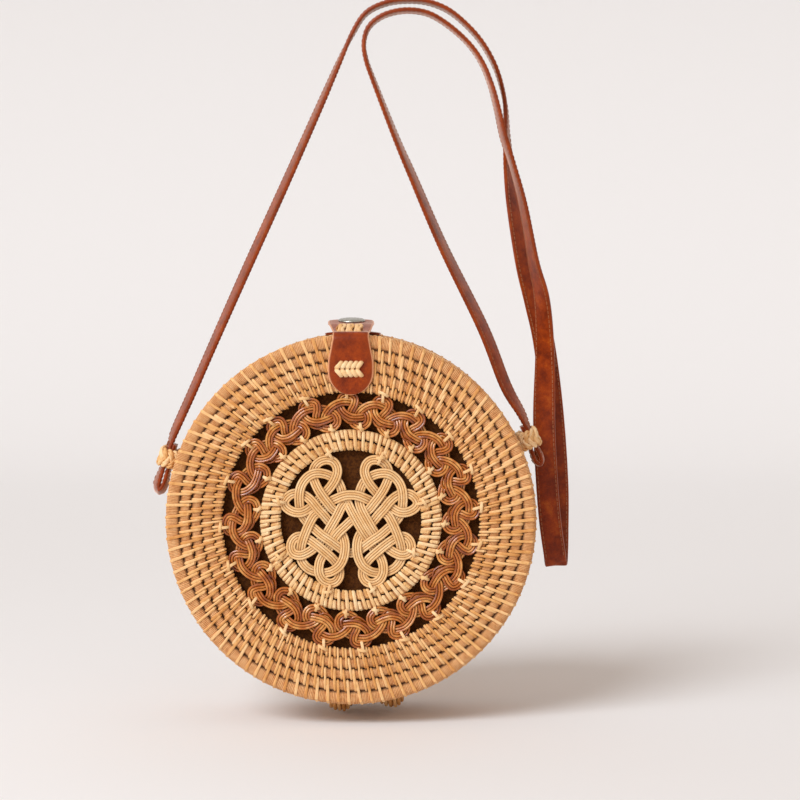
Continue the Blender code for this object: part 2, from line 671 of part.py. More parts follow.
def flap_level():
    """Height of the flap's lower face over the snap."""
    return (
        LEATHER_TOP + CLEARANCE + SNAP_STUD_HEIGHT + SNAP_NUB_HEIGHT
        + CLEARANCE + SNAP_SOCKET_HEIGHT + CLEARANCE
    )


def flap_rows():
    """Flap from its hinge, rising to the snap and flat over it."""
    start = HALF_CLEARANCE - FLAP_HINGE_SETBACK
    flat = SNAP_PLACE - SNAP_CAP_DIAMETER / 2
    rows = [(start, LEATHER_SEAT, TAB_WAIST)]
    for step in range(1, BEND_STEPS + 1):
        share = step / BEND_STEPS
        lift = (1 - math.cos(math.pi * share)) / 2
        rows.append((
            start + (flat - start) * share,
            LEATHER_SEAT + (flap_level() - LEATHER_SEAT) * lift,
            TAB_WAIST + (FLAP_END_WIDTH - TAB_WAIST) * share,
        ))
    rows.append((FLAP_END - FLAP_CORNER, flap_level(), FLAP_END_WIDTH))
    rows.append((FLAP_END, flap_level(), FLAP_END_WIDTH * FLAP_TIP_SHARE))
    return rows


def curved_patch():
    """Leather patch laid round the wall behind the seam."""
    half = math.asin(PATCH_WIDTH / 2 / LEATHER_SEAT)
    far = PATCH_SETBACK + PATCH_LENGTH
    sections = []
    for step in range(PATCH_SIDES + 1):
        angle = math.pi / 2 + half * (2 * step / PATCH_SIDES - 1)
        sections.append([
            polar(LEATHER_SEAT, angle, PATCH_SETBACK), polar(LEATHER_SEAT, angle, far),
            polar(LEATHER_TOP, angle, far), polar(LEATHER_TOP, angle, PATCH_SETBACK),
        ])
    return band(sections)


def disc(diameter, low, high, crown=0.0):
    """A snap disc about the vertical through the snap, with a crowned top."""
    radius = diameter / 2
    rim = (high - low) * SNAP_RIM_SHARE
    profile = [(0.0, low), (radius, low), (radius, high - rim), (radius - rim, high)]
    if crown:
        inward, upward = SNAP_SHOULDER_SHARES
        profile.append((radius * inward, high + crown * upward))
    profile.append((0.0, high + crown))
    bm = turned(profile, SNAP_SIDES, (0.0, 0.0, 1.0), closed=False)
    bmesh.ops.translate(bm, verts=bm.verts[:], vec=(0.0, SNAP_PLACE, 0.0))
    return bm


def zigzag(start, along, up, out, span, height, width, thickness, count):
    """One cane laid in zigzag stitches on a flat place."""
    sections = []
    for index in range(count + 1):
        rise = (index % 2 - 0.5) * (height - width)
        place = start + along * (span * (index / count - 0.5)) + up * rise
        sections.append(box_section(place + out * thickness / 2, up, out, width * 2, thickness))
    return band(sections)


def end_stitches(angle, right):
    """Thread bar through both layers of a doubled strap end, above its keeper."""
    outward, down, middle = keeper_frame(angle, right)
    above = KEEPER_LENGTH / 2 + END_STITCH_WIDTH
    out = LAYER_SPACING / 2 + STRAP_THICKNESS / 2 + CLEARANCE + END_STITCH_HEIGHT / 2
    place = middle - down * above + outward * out
    ends = [place + Vector((0.0, side * END_STITCH_SPAN / 2, 0.0)) for side in (-1, 1)]
    return band([
        box_section(end, down, outward, END_STITCH_WIDTH, END_STITCH_HEIGHT) for end in ends
    ])


def loop_cutters():
    """Full-turn grooves that the bottom loops pass through, as guides that only cut."""
    cutters = []
    for side in (-1, 1):
        bm = loop_band(side, CLEARANCE)
        cutter = add_piece("groove_left" if side < 0 else "groove_right", bm, CANE)
        cutter.hide_render = True
        cutter.display_type = "WIRE"
        cutters.append(cutter)
    return cutters


def loop_band(side, margin):
    """Ring about the hinge axis, wider by a margin all round."""
    inner = LOOP_BORE_RADIUS - margin
    outer = LOOP_BORE_RADIUS + LOOP_THICKNESS + margin
    half = LOOP_WIDTH / 2 + margin
    centre = side * LOOP_SPACING / 2
    bm = turned(
        [(inner, centre - half), (outer, centre - half), (outer, centre + half), (inner, centre + half)],
        LOOP_SIDES, (1.0, 0.0, 0.0),
    )
    turn = Matrix.Rotation(-LOOP_ANGLE, 4, "Y")
    shift = Matrix.Translation(polar(HINGE_RADIUS, LOOP_ANGLE - math.pi / 2))
    bmesh.ops.transform(bm, matrix=shift @ turn, verts=bm.verts[:])
    return bm


def cut(piece, cutters):
    """Takes the grooves out of a piece."""
    for cutter in cutters:
        modifier = piece.modifiers.new(cutter.name, "BOOLEAN")
        modifier.operation = "DIFFERENCE"
        modifier.solver = "EXACT"
        modifier.object = cutter


def build_front(pivot_point, cutters):
    """Front half drum with its openwork, lining and closure tab."""
    add_piece("front_face_weave", turned(face_profile(), DRUM_SIDES), CANE, pivot_point)
    wall = add_piece("front_wall_weave", turned(wall_profile(-1), DRUM_SIDES), CANE, pivot_point)
    cut(wall, cutters)
    hoop = add_piece("front_rim_hoop", turned(hoop_profile(-1), DRUM_SIDES), CANE, pivot_point)
    cut(hoop, cutters)
    add_piece("front_inner_ring", turned(inner_ring_profile(), DRUM_SIDES), PALE_CANE, pivot_point)
    add_piece("front_chain_ring", chain_band(), DARK_CANE, pivot_point)
    add_piece("front_knot_open_band", knot_band(open_knot_points(), False), PALE_CANE, pivot_point)
    add_piece("front_knot_closed_band", knot_band(closed_knot_points(), True), PALE_CANE, pivot_point)
    lining = turned(lining_profile(-1), DRUM_SIDES, closed=False)
    add_piece("front_lining", lining, CLOTH, pivot_point)
    add_piece("front_tab", leather_strip(tab_rows(), LEATHER_THICKNESS), LEATHER, pivot_point)
    front = -HALF_DEPTH - 2 * CLEARANCE - LEATHER_THICKNESS
    stitches = zigzag(
        Vector((0.0, front, FACE_STITCH_PLACE)), Vector((1.0, 0.0, 0.0)), Vector((0.0, 0.0, 1.0)),
        Vector((0.0, -1.0, 0.0)), FACE_STITCH_SPAN, FACE_STITCH_HEIGHT, STITCH_CANE,
        STITCH_THICKNESS, STITCH_COUNT * 2,
    )
    add_piece("tab_face_stitches", stitches, PALE_CANE, pivot_point)
    stitches = zigzag(
        Vector((0.0, -TOP_STITCH_PLACE, LEATHER_TOP + CLEARANCE)), Vector((1.0, 0.0, 0.0)),
        Vector((0.0, 1.0, 0.0)), Vector((0.0, 0.0, 1.0)), TOP_STITCH_SPAN, FACE_STITCH_HEIGHT,
        STITCH_CANE, TOP_STITCH_HEIGHT, STITCH_COUNT * 2,
    )
    add_piece("tab_top_stitches", stitches, PALE_CANE, pivot_point)


def build_flap(pivot_point):
    """Flap with both halves of its snap."""
    add_piece("closure_flap", leather_strip(flap_rows(), LEATHER_THICKNESS), LEATHER, pivot_point)
    top = flap_level() + LEATHER_THICKNESS + CLEARANCE
    crown = SNAP_CAP_HEIGHT * SNAP_CROWN_SHARE
    cap = disc(SNAP_CAP_DIAMETER, top, top + SNAP_CAP_HEIGHT - crown, crown)
    add_piece("snap_cap", cap, NICKEL, pivot_point)
    low = flap_level() - CLEARANCE - SNAP_SOCKET_HEIGHT
    socket = disc(SNAP_SOCKET_DIAMETER, low, low + SNAP_SOCKET_HEIGHT)
    add_piece("snap_socket", socket, NICKEL, pivot_point)


def build_stud(pivot_point):
    """Lower half of the snap: a flat base with its nub."""
    low = LEATHER_TOP + CLEARANCE
    middle = low + SNAP_STUD_HEIGHT
    profile = [
        (0.0, low), (SNAP_STUD_DIAMETER / 2, low), (SNAP_STUD_DIAMETER / 2, middle),
        (SNAP_NUB_DIAMETER / 2, middle), (SNAP_NUB_DIAMETER / 2, middle + SNAP_NUB_HEIGHT),
        (0.0, middle + SNAP_NUB_HEIGHT),
    ]
    bm = turned(profile, SNAP_SIDES, (0.0, 0.0, 1.0), closed=False)
    bmesh.ops.translate(bm, verts=bm.verts[:], vec=(0.0, SNAP_PLACE, 0.0))
    add_piece("snap_stud", bm, NICKEL, pivot_point)


def build_back(pivot_point, cutters):
    """Back half drum with its lining, patch, strap keepers and bottom loops."""
    add_piece("back_face_weave", turned(back_profile(), DRUM_SIDES, closed=False), CANE, pivot_point)
    wall = add_piece("back_wall_weave", turned(wall_profile(1), DRUM_SIDES), CANE, pivot_point)
    cut(wall, cutters)
    hoop = add_piece("back_rim_hoop", turned(hoop_profile(1), DRUM_SIDES), CANE, pivot_point)
    cut(hoop, cutters)
    lining = turned(lining_profile(1), DRUM_SIDES, closed=False)
    add_piece("back_lining", lining, CLOTH, pivot_point)
    add_piece("back_patch", curved_patch(), LEATHER, pivot_point)
    add_piece("strap_keeper_left", keeper(KEEPER_LEFT_ANGLE, False), PALE_CANE, pivot_point)
    add_piece("strap_keeper_right", keeper(KEEPER_RIGHT_ANGLE, True), PALE_CANE, pivot_point)
    add_piece("hinge_loop_left", loop_band(-1, 0.0), PALE_CANE, pivot_point)
    add_piece("hinge_loop_right", loop_band(1, 0.0), PALE_CANE, pivot_point)
    build_stud(pivot_point)


def build_strap():
    """Strap with the thread that closes its doubled ends."""
    add_piece("strap", strap_band(), LEATHER, place=Vector())
    left = end_stitches(KEEPER_LEFT_ANGLE, False)
    add_piece("strap_end_stitches_left", left, PALE_CANE)
    right = end_stitches(KEEPER_RIGHT_ANGLE, True)
    add_piece("strap_end_stitches_right", right, PALE_CANE)


def main():
    for leftover in list(bpy.data.objects):
        bpy.data.objects.remove(leftover, do_unlink=True)
    left = keeper_frame(KEEPER_LEFT_ANGLE, False)[2]
    right = keeper_frame(KEEPER_RIGHT_ANGLE, True)[2]
    swing = pivot("swing_axis", BAG_CENTRE + (left + right) / 2)
    hinge = pivot("hinge_axis", BAG_CENTRE + polar(HINGE_RADIUS, LOOP_ANGLE - math.pi / 2), swing)
    fold = pivot(
        "flap_axis", BAG_CENTRE + Vector((0.0, -FLAP_HINGE_SETBACK, LEATHER_TOP)), hinge,
    )
    cutters = loop_cutters()
    build_strap()
    build_back(swing, cutters)
    build_front(hinge, cutters)
    build_flap(fold)


main()
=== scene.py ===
import math
import random

import bmesh
import bpy
from mathutils import Matrix, Vector
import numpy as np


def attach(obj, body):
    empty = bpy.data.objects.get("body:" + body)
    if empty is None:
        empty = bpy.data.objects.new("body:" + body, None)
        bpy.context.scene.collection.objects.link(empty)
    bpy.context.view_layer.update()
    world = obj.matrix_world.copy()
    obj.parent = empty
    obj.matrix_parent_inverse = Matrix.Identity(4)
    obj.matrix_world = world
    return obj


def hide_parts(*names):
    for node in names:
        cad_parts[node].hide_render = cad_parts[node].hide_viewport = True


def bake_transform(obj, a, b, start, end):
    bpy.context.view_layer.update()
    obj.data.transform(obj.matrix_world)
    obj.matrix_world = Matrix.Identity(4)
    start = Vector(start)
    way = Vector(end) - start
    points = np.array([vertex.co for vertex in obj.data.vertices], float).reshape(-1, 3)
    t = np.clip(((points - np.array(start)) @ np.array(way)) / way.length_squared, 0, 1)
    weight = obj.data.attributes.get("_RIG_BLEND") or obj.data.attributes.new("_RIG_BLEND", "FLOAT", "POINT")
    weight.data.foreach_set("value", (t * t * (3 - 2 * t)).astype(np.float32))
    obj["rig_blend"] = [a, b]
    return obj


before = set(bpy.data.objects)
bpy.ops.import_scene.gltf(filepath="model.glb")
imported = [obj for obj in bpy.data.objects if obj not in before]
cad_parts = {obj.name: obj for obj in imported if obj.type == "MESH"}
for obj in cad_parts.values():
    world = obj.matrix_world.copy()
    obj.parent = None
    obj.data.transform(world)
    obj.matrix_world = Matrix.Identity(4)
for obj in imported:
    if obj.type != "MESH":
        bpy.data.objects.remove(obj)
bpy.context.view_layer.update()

# Round basket bag in coiled rattan, in metres. The bag's own pieces are drawn about the middle
# of the drum, its front towards -Y, and makePiece moves them to bagCentre.
bagCentre = Vector((-0.032003, -0.0045, -0.2841))
halves = ((-1, "front_shell", "front"), (1, "bag_back", "back"))
rightward = Vector((1.0, 0.0, 0.0))
backward = Vector((0.0, 1.0, 0.0))
dice = random.Random(41)


def toLinear(hexColour):
    parts = [int(hexColour[i:i + 2], 16) / 255 for i in (1, 3, 5)]
    return [p / 12.92 if p <= 0.04045 else ((p + 0.055) / 1.055) ** 2.4 for p in parts] + [1.0]


def addNode(tree, kind, inputs=None, **settings):
    node = tree.nodes.new(kind)
    for key, value in settings.items():
        setattr(node, key, value)
    for key, value in (inputs or {}).items():
        if isinstance(value, bpy.types.NodeSocket):
            tree.links.new(value, node.inputs[key])
        else:
            node.inputs[key].default_value = value
    return node


def addRamp(tree, factor, stops):
    ramp = addNode(tree, "ShaderNodeValToRGB", {"Fac": factor})
    elements = ramp.color_ramp.elements
    while len(elements) < len(stops):
        elements.new(0.5)
    for element, (place, colour) in zip(elements, stops):
        element.position = place
        element.color = toLinear(colour)
    return ramp


def newMaterial(name, **shader):
    material = bpy.data.materials.new(name)
    material.use_nodes = True
    tree = material.node_tree
    surface = tree.nodes["Principled BSDF"]
    for key, value in shader.items():
        surface.inputs[key.replace("_", " ")].default_value = value
    return material, tree, surface


def smoothCurve(points, closed=False, steps=6):
    count = len(points)
    curve = []
    for i in range(count if closed else count - 1):
        four = [
            points[(i + j) % count] if closed else points[min(max(i + j, 0), count - 1)]
            for j in (-1, 0, 1, 2)
        ]
        for step in range(steps):
            t = step / steps
            weights = (
                (-t + 2 * t * t - t ** 3) / 2, (2 - 5 * t * t + 3 * t ** 3) / 2,
                (t + 4 * t * t - 3 * t ** 3) / 2, (t ** 3 - t * t) / 2,
            )
            total = points[0] * 0
            for point, weight in zip(four, weights):
                total = total + point * weight
            curve.append(total)
    if not closed:
        curve.append(points[-1])
    return curve


def spaced(curve, gap, closed=False):
    line = curve + [curve[0]] if closed else curve
    lengths = [0.0]
    for a, b in zip(line, line[1:]):
        lengths.append(lengths[-1] + (Vector(b[:3]) - Vector(a[:3])).length)
    count = max(2, round(lengths[-1] / gap))
    even = []
    at = 0
    for i in range(count if closed else count + 1):
        target = lengths[-1] * i / count
        while at < len(lengths) - 2 and lengths[at + 1] < target:
            at += 1
        span = lengths[at + 1] - lengths[at]
        even.append(line[at].lerp(line[at + 1], min(1.0, (target - lengths[at]) / span if span else 0.0)))
    return even


def heading(line, i, closed=False):
    if closed:
        return (line[(i + 1) % len(line)] - line[i - 1]).normalized()
    return (line[min(i + 1, len(line) - 1)] - line[max(i - 1, 0)]).normalized()


def polar(radius, angle, depth=0.0):
    return Vector((radius * math.cos(angle), depth, radius * math.sin(angle)))


def sweep(bm, line, ups, sizes, sides=8, square=1.0):
    # one flat or round strand: a ring of points carried along the line by extrusion
    ring = bmesh.ops.create_circle(bm, segments=sides, radius=1.0)["verts"]
    for v in ring:
        v.co = Vector([math.copysign(abs(c) ** square, c) / 2 for c in v.co.xy] + [0.0])
    edges = list(dict.fromkeys(e for v in ring for e in v.link_edges))
    bmesh.ops.edgeloop_fill(bm, edges=edges)
    rings = []
    before = Matrix.Identity(4)
    for i, place in enumerate(line):
        along = heading(line, i)
        wide = along.cross(ups[i]).normalized()
        tall = wide.cross(along)
        width, height = sizes[i]
        frameNow = Matrix((wide * width, tall * height, along * 0.001)).transposed().to_4x4()
        frameNow.translation = place
        if i:
            grown = bmesh.ops.extrude_edge_only(bm, edges=edges)["geom"]
            ring = [g for g in grown if isinstance(g, bmesh.types.BMVert)]
            fresh = set(ring)
            edges = [g for g in grown if isinstance(g, bmesh.types.BMEdge) and set(g.verts) <= fresh]
        bmesh.ops.transform(bm, matrix=frameNow @ before.inverted(), verts=ring)
        before = frameNow
        rings.append(ring)
    bmesh.ops.edgeloop_fill(bm, edges=edges)
    return rings


def turnProfile(points, axis, steps, gap):
    # a profile of places turned round an axis through the middle
    bm = bmesh.new()
    verts = [bm.verts.new(place) for place in points]
    edges = [bm.edges.new(pair) for pair in zip(verts, verts[1:])]
    bmesh.ops.spin(
        bm, geom=verts + edges, cent=(0.0, 0.0, 0.0), axis=axis, angle=math.tau, steps=steps, use_merge=True,
    )
    bmesh.ops.remove_doubles(bm, verts=bm.verts[:], dist=gap)
    return bm


def addStrand(bm, line, up, width, height, sides, shade):
    # one flat cane, made by itself and then added to the piece
    part = bmesh.new()
    ups = [up] * len(line) if isinstance(up, Vector) else up
    sweep(part, line, ups, [(width, height)] * len(line), sides=sides)
    tint = part.verts.layers.float.new("tint")
    for v in part.verts:
        v[tint] = shade
    mesh = bpy.data.meshes.new("strand")
    part.to_mesh(mesh)
    part.free()
    bm.from_mesh(mesh)
    bpy.data.meshes.remove(mesh)


def addCanes(bm, lines, radius, closed=False, resolution=1, shades=None):
    # round strands from curves, each with a shade of its own
    tint = bm.verts.layers.float.get("tint") or bm.verts.layers.float.new("tint")
    for number, line in enumerate(lines):
        curve = bpy.data.curves.new("strand", "CURVE")
        curve.dimensions = "3D"
        curve.bevel_depth = radius
        curve.bevel_resolution = resolution
        curve.use_fill_caps = not closed
        spline = curve.splines.new("POLY")
        spline.points.add(len(line) - 1)
        for point, place in zip(spline.points, line):
            point.co = (*place[:3], 1.0)
        spline.use_cyclic_u = closed
        holder = bpy.data.objects.new("strand", curve)
        mesh = bpy.data.meshes.new_from_object(holder)
        count = len(bm.verts)
        bm.from_mesh(mesh)
        bm.verts.ensure_lookup_table()
        shade = shades[number] if shades else dice.random()
        for v in bm.verts[count:]:
            v[tint] = shade
        bpy.data.objects.remove(holder)
        bpy.data.curves.remove(curve)
        bpy.data.meshes.remove(mesh)


def makePiece(name, bm, material, body, nodes=(), place=bagCentre, crease=40.0, turnOut=True):
    if turnOut:
        bmesh.ops.recalc_face_normals(bm, faces=bm.faces[:])
    mesh = bpy.data.meshes.new(name)
    bm.to_mesh(mesh)
    bm.free()
    mesh.transform(Matrix.Translation(place))
    mesh.shade_smooth()
    mesh.set_sharp_from_angle(angle=math.radians(crease))
    mesh.materials.append(material)
    piece = bpy.data.objects.new(name, mesh)
    bpy.context.collection.objects.link(piece)
    if body:
        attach(piece, body)
    if nodes:
        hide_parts(*nodes)
    return piece


print("materials")


def caneSkin(name, stops, flecks, tintShare, creaseShadeColour, **shader):
    # its colour follows flecks and stained patches, and the shade that each length of cane has
    material, tree, surface = newMaterial(name, IOR=1.5, **shader)
    coords = addNode(tree, "ShaderNodeTexCoord").outputs["Object"]
    tint = addNode(tree, "ShaderNodeAttribute", attribute_name="tint").outputs["Fac"]
    mixed = addNode(tree, "ShaderNodeMath", {0: tint, 1: tintShare}, operation="MULTIPLY").outputs[0]
    for scale, detail, share in flecks:
        fleck = addNode(tree, "ShaderNodeTexNoise", {"Vector": coords, "Scale": scale, "Detail": detail})
        mixed = addNode(tree, "ShaderNodeMath", {
            0: fleck.outputs["Fac"], 1: share, 2: mixed,
        }, operation="MULTIPLY_ADD").outputs[0]
    ramp = addRamp(tree, mixed, stops)
    # painted shade: the strands' sides, marked by addCrease, take the darker crease colour
    crease = addNode(tree, "ShaderNodeAttribute", attribute_name="crease").outputs["Fac"]
    shaded = addNode(tree, "ShaderNodeMix", {
        "Factor": crease, 6: ramp.outputs["Color"], 7: toLinear(creaseShadeColour),
    }, data_type="RGBA").outputs[2]
    tree.links.new(shaded, surface.inputs["Base Color"])
    return material


def plainCane(name, stops):
    # undyed and satin, with flecks of 2.4 mm, patches of 17 mm and raised fibres of 0.7 mm, and brown painted
    # shade on strands' sides
    material = caneSkin(
        name, stops, ((420.0, 3.0, 0.45), (60.0, 2.0, 0.35)), 0.42, "#8A4A1E",
        Roughness=0.5, Specular_IOR_Level=0.35,
    )
    tree = material.node_tree
    coords = addNode(tree, "ShaderNodeTexCoord").outputs["Object"]
    fibre = addNode(tree, "ShaderNodeTexNoise", {"Vector": coords, "Scale": 1500.0, "Detail": 2.0})
    bump = addNode(tree, "ShaderNodeBump", {
        "Height": fibre.outputs["Fac"], "Strength": 0.25, "Distance": 0.0003,
    })
    tree.links.new(bump.outputs["Normal"], tree.nodes["Principled BSDF"].inputs["Normal"])
    return material


def fleckedMaterial(name, scale, detail, stops, **shader):
    # a plain material whose colour follows flecks, each 1 / scale metres across
    material, tree, surface = newMaterial(name, **shader)
    coords = addNode(tree, "ShaderNodeTexCoord").outputs["Object"]
    fleck = addNode(tree, "ShaderNodeTexNoise", {"Vector": coords, "Scale": scale, "Detail": detail})
    ramp = addRamp(tree, fleck.outputs["Fac"], stops)
    tree.links.new(ramp.outputs["Color"], surface.inputs["Base Color"])
    return material


# Split rattan skin, shaved and dried: straw yellow, satin, a few honey-coloured lengths
straw = plainCane("splitRattanSkin", (
    (0.25, "#C37D38"), (0.45, "#D79956"), (0.64, "#E7B170"), (0.88, "#F0C58E"),
))

# Peeled rattan reed: paler and creamier than the skin, satin
peeled = plainCane("peeledRattanReed", (
    (0.25, "#C58746"), (0.45, "#DAA667"), (0.64, "#EABD83"), (0.88, "#F3D4A5"),
))

# Round rattan cane dyed red brown and oiled: glossy, each strand its own depth of colour,
# the dye in patches of 4 mm, and near-black painted shade on the strands' sides
smoked = caneSkin("dyedRattanCane", (
    (0.28, "#642604"), (0.46, "#96490E"), (0.64, "#BC6A20"), (0.85, "#E2A458"),
), ((240.0, 3.0, 0.7),), 0.4, "#2E0C02", Roughness=0.32, Coat_Weight=0.3, Coat_Roughness=0.15)

# Rattan core coils under the lapping: pinker, matt, wrapped side by side, with painted shade where rows meet
core, tree, surface = newMaterial("wrappedRattanCore", Roughness=0.62, IOR=1.5, Specular_IOR_Level=0.3)
uv = addNode(tree, "ShaderNodeUVMap", uv_map="wrap").outputs["UV"]
coords = addNode(tree, "ShaderNodeTexCoord").outputs["Object"]
paintedGrooveShade = addNode(tree, "ShaderNodeAttribute", attribute_name="paintedGrooveShade").outputs["Fac"]
wave = addNode(tree, "ShaderNodeTexWave", {  # bands of 0.7 mm across the coil
    "Vector": uv, "Scale": 0.74, "Distortion": 1.6, "Detail": 1.0, "Detail Scale": 2.0,
}, wave_type="BANDS", bands_direction="X").outputs["Fac"]
fleck = addNode(tree, "ShaderNodeTexNoise", {"Vector": coords, "Scale": 330.0, "Detail": 3.0})  # of 3 mm
mixed = addNode(tree, "ShaderNodeMath", {0: wave, 1: 0.35}, operation="MULTIPLY").outputs[0]
mixed = addNode(tree, "ShaderNodeMath", {
    0: fleck.outputs["Fac"], 1: 0.65, 2: mixed,
}, operation="MULTIPLY_ADD").outputs[0]
ramp = addRamp(tree, mixed, ((0.2, "#B26936"), (0.38, "#D7945B"), (0.58, "#E9AE73"), (0.8, "#F7C591")))
# painted shade: the groove mask mixes in a near-black brown where one coil meets the next
coreWithPaintedShade = addNode(tree, "ShaderNodeMix", {
    "Factor": paintedGrooveShade, 6: ramp.outputs["Color"], 7: toLinear("#330F04"),
}, data_type="RGBA").outputs[2]
tree.links.new(coreWithPaintedShade, surface.inputs["Base Color"])
bump = addNode(tree, "ShaderNodeBump", {"Height": wave, "Strength": 0.8, "Distance": 0.0005})
tree.links.new(bump.outputs["Normal"], surface.inputs["Normal"])

# Waxed pull-up cowhide: red brown with a pinkish bloom, fine pebbled grain, raw orange edges and a painted
# pale highlight along the very edge
hide, tree, surface = newMaterial(
    "waxedCowhide", Roughness=0.42, Specular_IOR_Level=0.15, Coat_Weight=0.12, Coat_Roughness=0.3,
    Sheen_Weight=0.9, Sheen_Roughness=0.3, Sheen_Tint=toLinear("#FFDAC6"),
)
coords = addNode(tree, "ShaderNodeTexCoord").outputs["Object"]
edge = addNode(tree, "ShaderNodeAttribute", attribute_name="edge").outputs["Fac"]
cloud = addNode(tree, "ShaderNodeTexNoise", {
    "Vector": coords, "Scale": 130.0, "Detail": 5.0, "Roughness": 0.7,  # pull-up marks of 8 mm
}).outputs["Fac"]
ramp = addRamp(tree, cloud, ((0.3, "#611D04"), (0.46, "#822E06"), (0.58, "#983A07"), (0.74, "#B15714")))
# the palest stop at the very edge is a painted highlight line; the orange below it is the raw edge
rim = addRamp(tree, edge, ((0.5, "#68280E"), (0.72, "#8B380C"), (0.9, "#8B3A10"), (0.97, "#DB9D73")))
share = addRamp(tree, edge, ((0.5, "#000000"), (0.8, "#AAAAAA"), (0.9, "#BBBBBB"), (0.95, "#FFFFFF")))
both = addNode(tree, "ShaderNodeMix", {
    "Factor": share.outputs["Color"], 6: ramp.outputs["Color"], 7: rim.outputs["Color"],
}, data_type="RGBA").outputs[2]
tree.links.new(both, surface.inputs["Base Color"])
grain = addNode(tree, "ShaderNodeTexVoronoi", {"Vector": coords, "Scale": 1100.0})  # pebbles of 0.9 mm
bump = addNode(tree, "ShaderNodeBump", {
    "Height": grain.outputs["Distance"], "Strength": 0.3, "Distance": 0.0003,
})
tree.links.new(bump.outputs["Normal"], surface.inputs["Normal"])

# Brushed cotton lining: very dark brown, no gloss, a nap of 1.4 mm
cloth = fleckedMaterial(
    "cottonLining", 700.0, 2.0, ((0.35, "#3F1F08"), (0.65, "#5A320F")),
    Roughness=0.95, Specular_IOR_Level=0.1, Sheen_Weight=0.15,
)

# Nickel-plated brass snap: pressed and barrelled, faintly scratched, each mark about 1 mm
nickel = fleckedMaterial(
    "nickelPlatedBrass", 900.0, 4.0, ((0.3, "#8F8F86"), (0.7, "#C4C3B8")), Metallic=1.0, Roughness=0.3,
)

# Waxed linen thread: tan, its twist 0.6 mm long
thread = fleckedMaterial(
    "waxedThread", 1600.0, 2.0, ((0.35, "#8B4722"), (0.65, "#AA6C45")), Roughness=0.6,
)

print("coils and lapping")
weave = {
    "radius": 0.1, "frontRows": (0.0694, 0.07433, 0.08066, 0.0866, 0.09293, 0.1),
    "crest": 0.03935, "faceThick": 0.0022, "wallCrest": 0.0993, "wallThick": 0.0018,
    "wallStart": 0.00465, "wallEnd": 0.0347, "wallRows": 5, "turns": 103, "setShift": 0.44,
    "stickWidth": 0.0017, "stickHeight": 0.0011, "lean": 0.13, "cornerShift": 0.03,
    "backRows": 14, "backPitch": 0.0056, "wrapsPerStick": 3, "unevenness": 0.0022, "wrapSwell": 0.05,
    # where across a coil the painted shade of the groove mask starts, and over how much it becomes full
    "overlap": 1.05, "paintedShadeFrom": 0.62, "paintedShadeOver": 0.22, "widthHoldsAt": 0.09, "rimIn": 0.0003,
    "cornerWidth": 1.04, "openworkWidth": 0.85, "outTuck": 0.0004, "inTuck": 0.0002,
    # how much the sticks differ: in lean, width and height
    "leans": 0.3, "widths": (0.88, 1.12), "heights": (0.9, 1.12),
}


def coil(radius, depth, halfRadial, halfDepth, wraps=weave["turns"] * weave["wrapsPerStick"]):
    return {
        "radius": radius, "depth": depth, "halfRadial": halfRadial, "halfDepth": halfDepth, "wraps": wraps,
    }


def turnCoils(rings, across, steps=412, sides=12):
    # coils of the basket, each a flattened ring wrapped with cane; across is "face" or "wall"
    bm = bmesh.new()
    for ring in rings:
        for v in bmesh.ops.create_circle(bm, segments=sides, radius=1.0)["verts"]:
            v.co = Vector((
                ring["radius"] + v.co.x * ring["halfRadial"], ring["depth"] + v.co.y * ring["halfDepth"], 0.0,
            ))
    bmesh.ops.spin(
        bm, geom=bm.verts[:] + bm.edges[:], cent=(0.0, 0.0, 0.0), axis=(0.0, 1.0, 0.0),
        angle=math.tau, steps=steps, use_merge=True,
    )
    uv = bm.loops.layers.uv.new("wrap")
    paintedGrooveShade = bm.verts.layers.float.new("paintedGrooveShade")
    outermost = max(ring["radius"] for ring in rings)
    for v in bm.verts:
        rho = math.hypot(v.co.x, v.co.z)
        ring = min(rings, key=lambda r: math.hypot(
            (rho - r["radius"]) / r["halfRadial"], (v.co.y - r["depth"]) / r["halfDepth"],
        ))
        away = (rho - ring["radius"]) / ring["halfRadial"]
        if across == "wall":
            away = (v.co.y - ring["depth"]) / ring["halfDepth"]
        # painted shade: the mask grows towards each coil's sides, where it meets the next coil; the outer
        # side of the outermost face coil stays unshaded
        v[paintedGrooveShade] = min(1.0, max(0.0, (abs(away) - weave["paintedShadeFrom"]) / weave["paintedShadeOver"]))
        if across == "face" and ring["radius"] == outermost and away > 0:
            v[paintedGrooveShade] = 0.0
        angle = math.atan2(v.co.z, v.co.x)
        centre = polar(ring["radius"], angle, ring["depth"])
        v.co = centre + (v.co - centre) * (1 + weave["wrapSwell"] * abs(math.sin(angle * ring["wraps"] / 2)))
    for face in bm.faces:
        middle = face.calc_center_median()
        about = math.atan2(middle.z, middle.x)
        for loop in face.loops:
            angle = math.atan2(loop.vert.co.z, loop.vert.co.x)
            angle += math.tau * round((about - angle) / math.tau)
            loop[uv].uv = (angle / math.tau * weave["turns"] * weave["wrapsPerStick"], loop.vert.co.y * 200)
    return bm


def stickShape():
    # a split cane drawn flat: x along from 0 to 1, y across, z up; its ends bow down
    bm = bmesh.new()
    stations = (0.0, 0.03, 0.1, 0.28, 0.5, 0.72, 0.9, 0.97, 1.0)
    line = [Vector((s, 0.0, 0.0)) for s in stations]
    sizes = [(0.4, 0.4), (0.8, 0.8), (0.97, 0.95), (1.0, 1.0), (0.96, 1.0)]
    sizes += sizes[3::-1]
    sweep(bm, line, [Vector((0.0, 0.0, 1.0))] * len(line), sizes, sides=6)
    mesh = bpy.data.meshes.new("stick")
    bm.to_mesh(mesh)
    bm.free()
    return mesh


stick = stickShape()


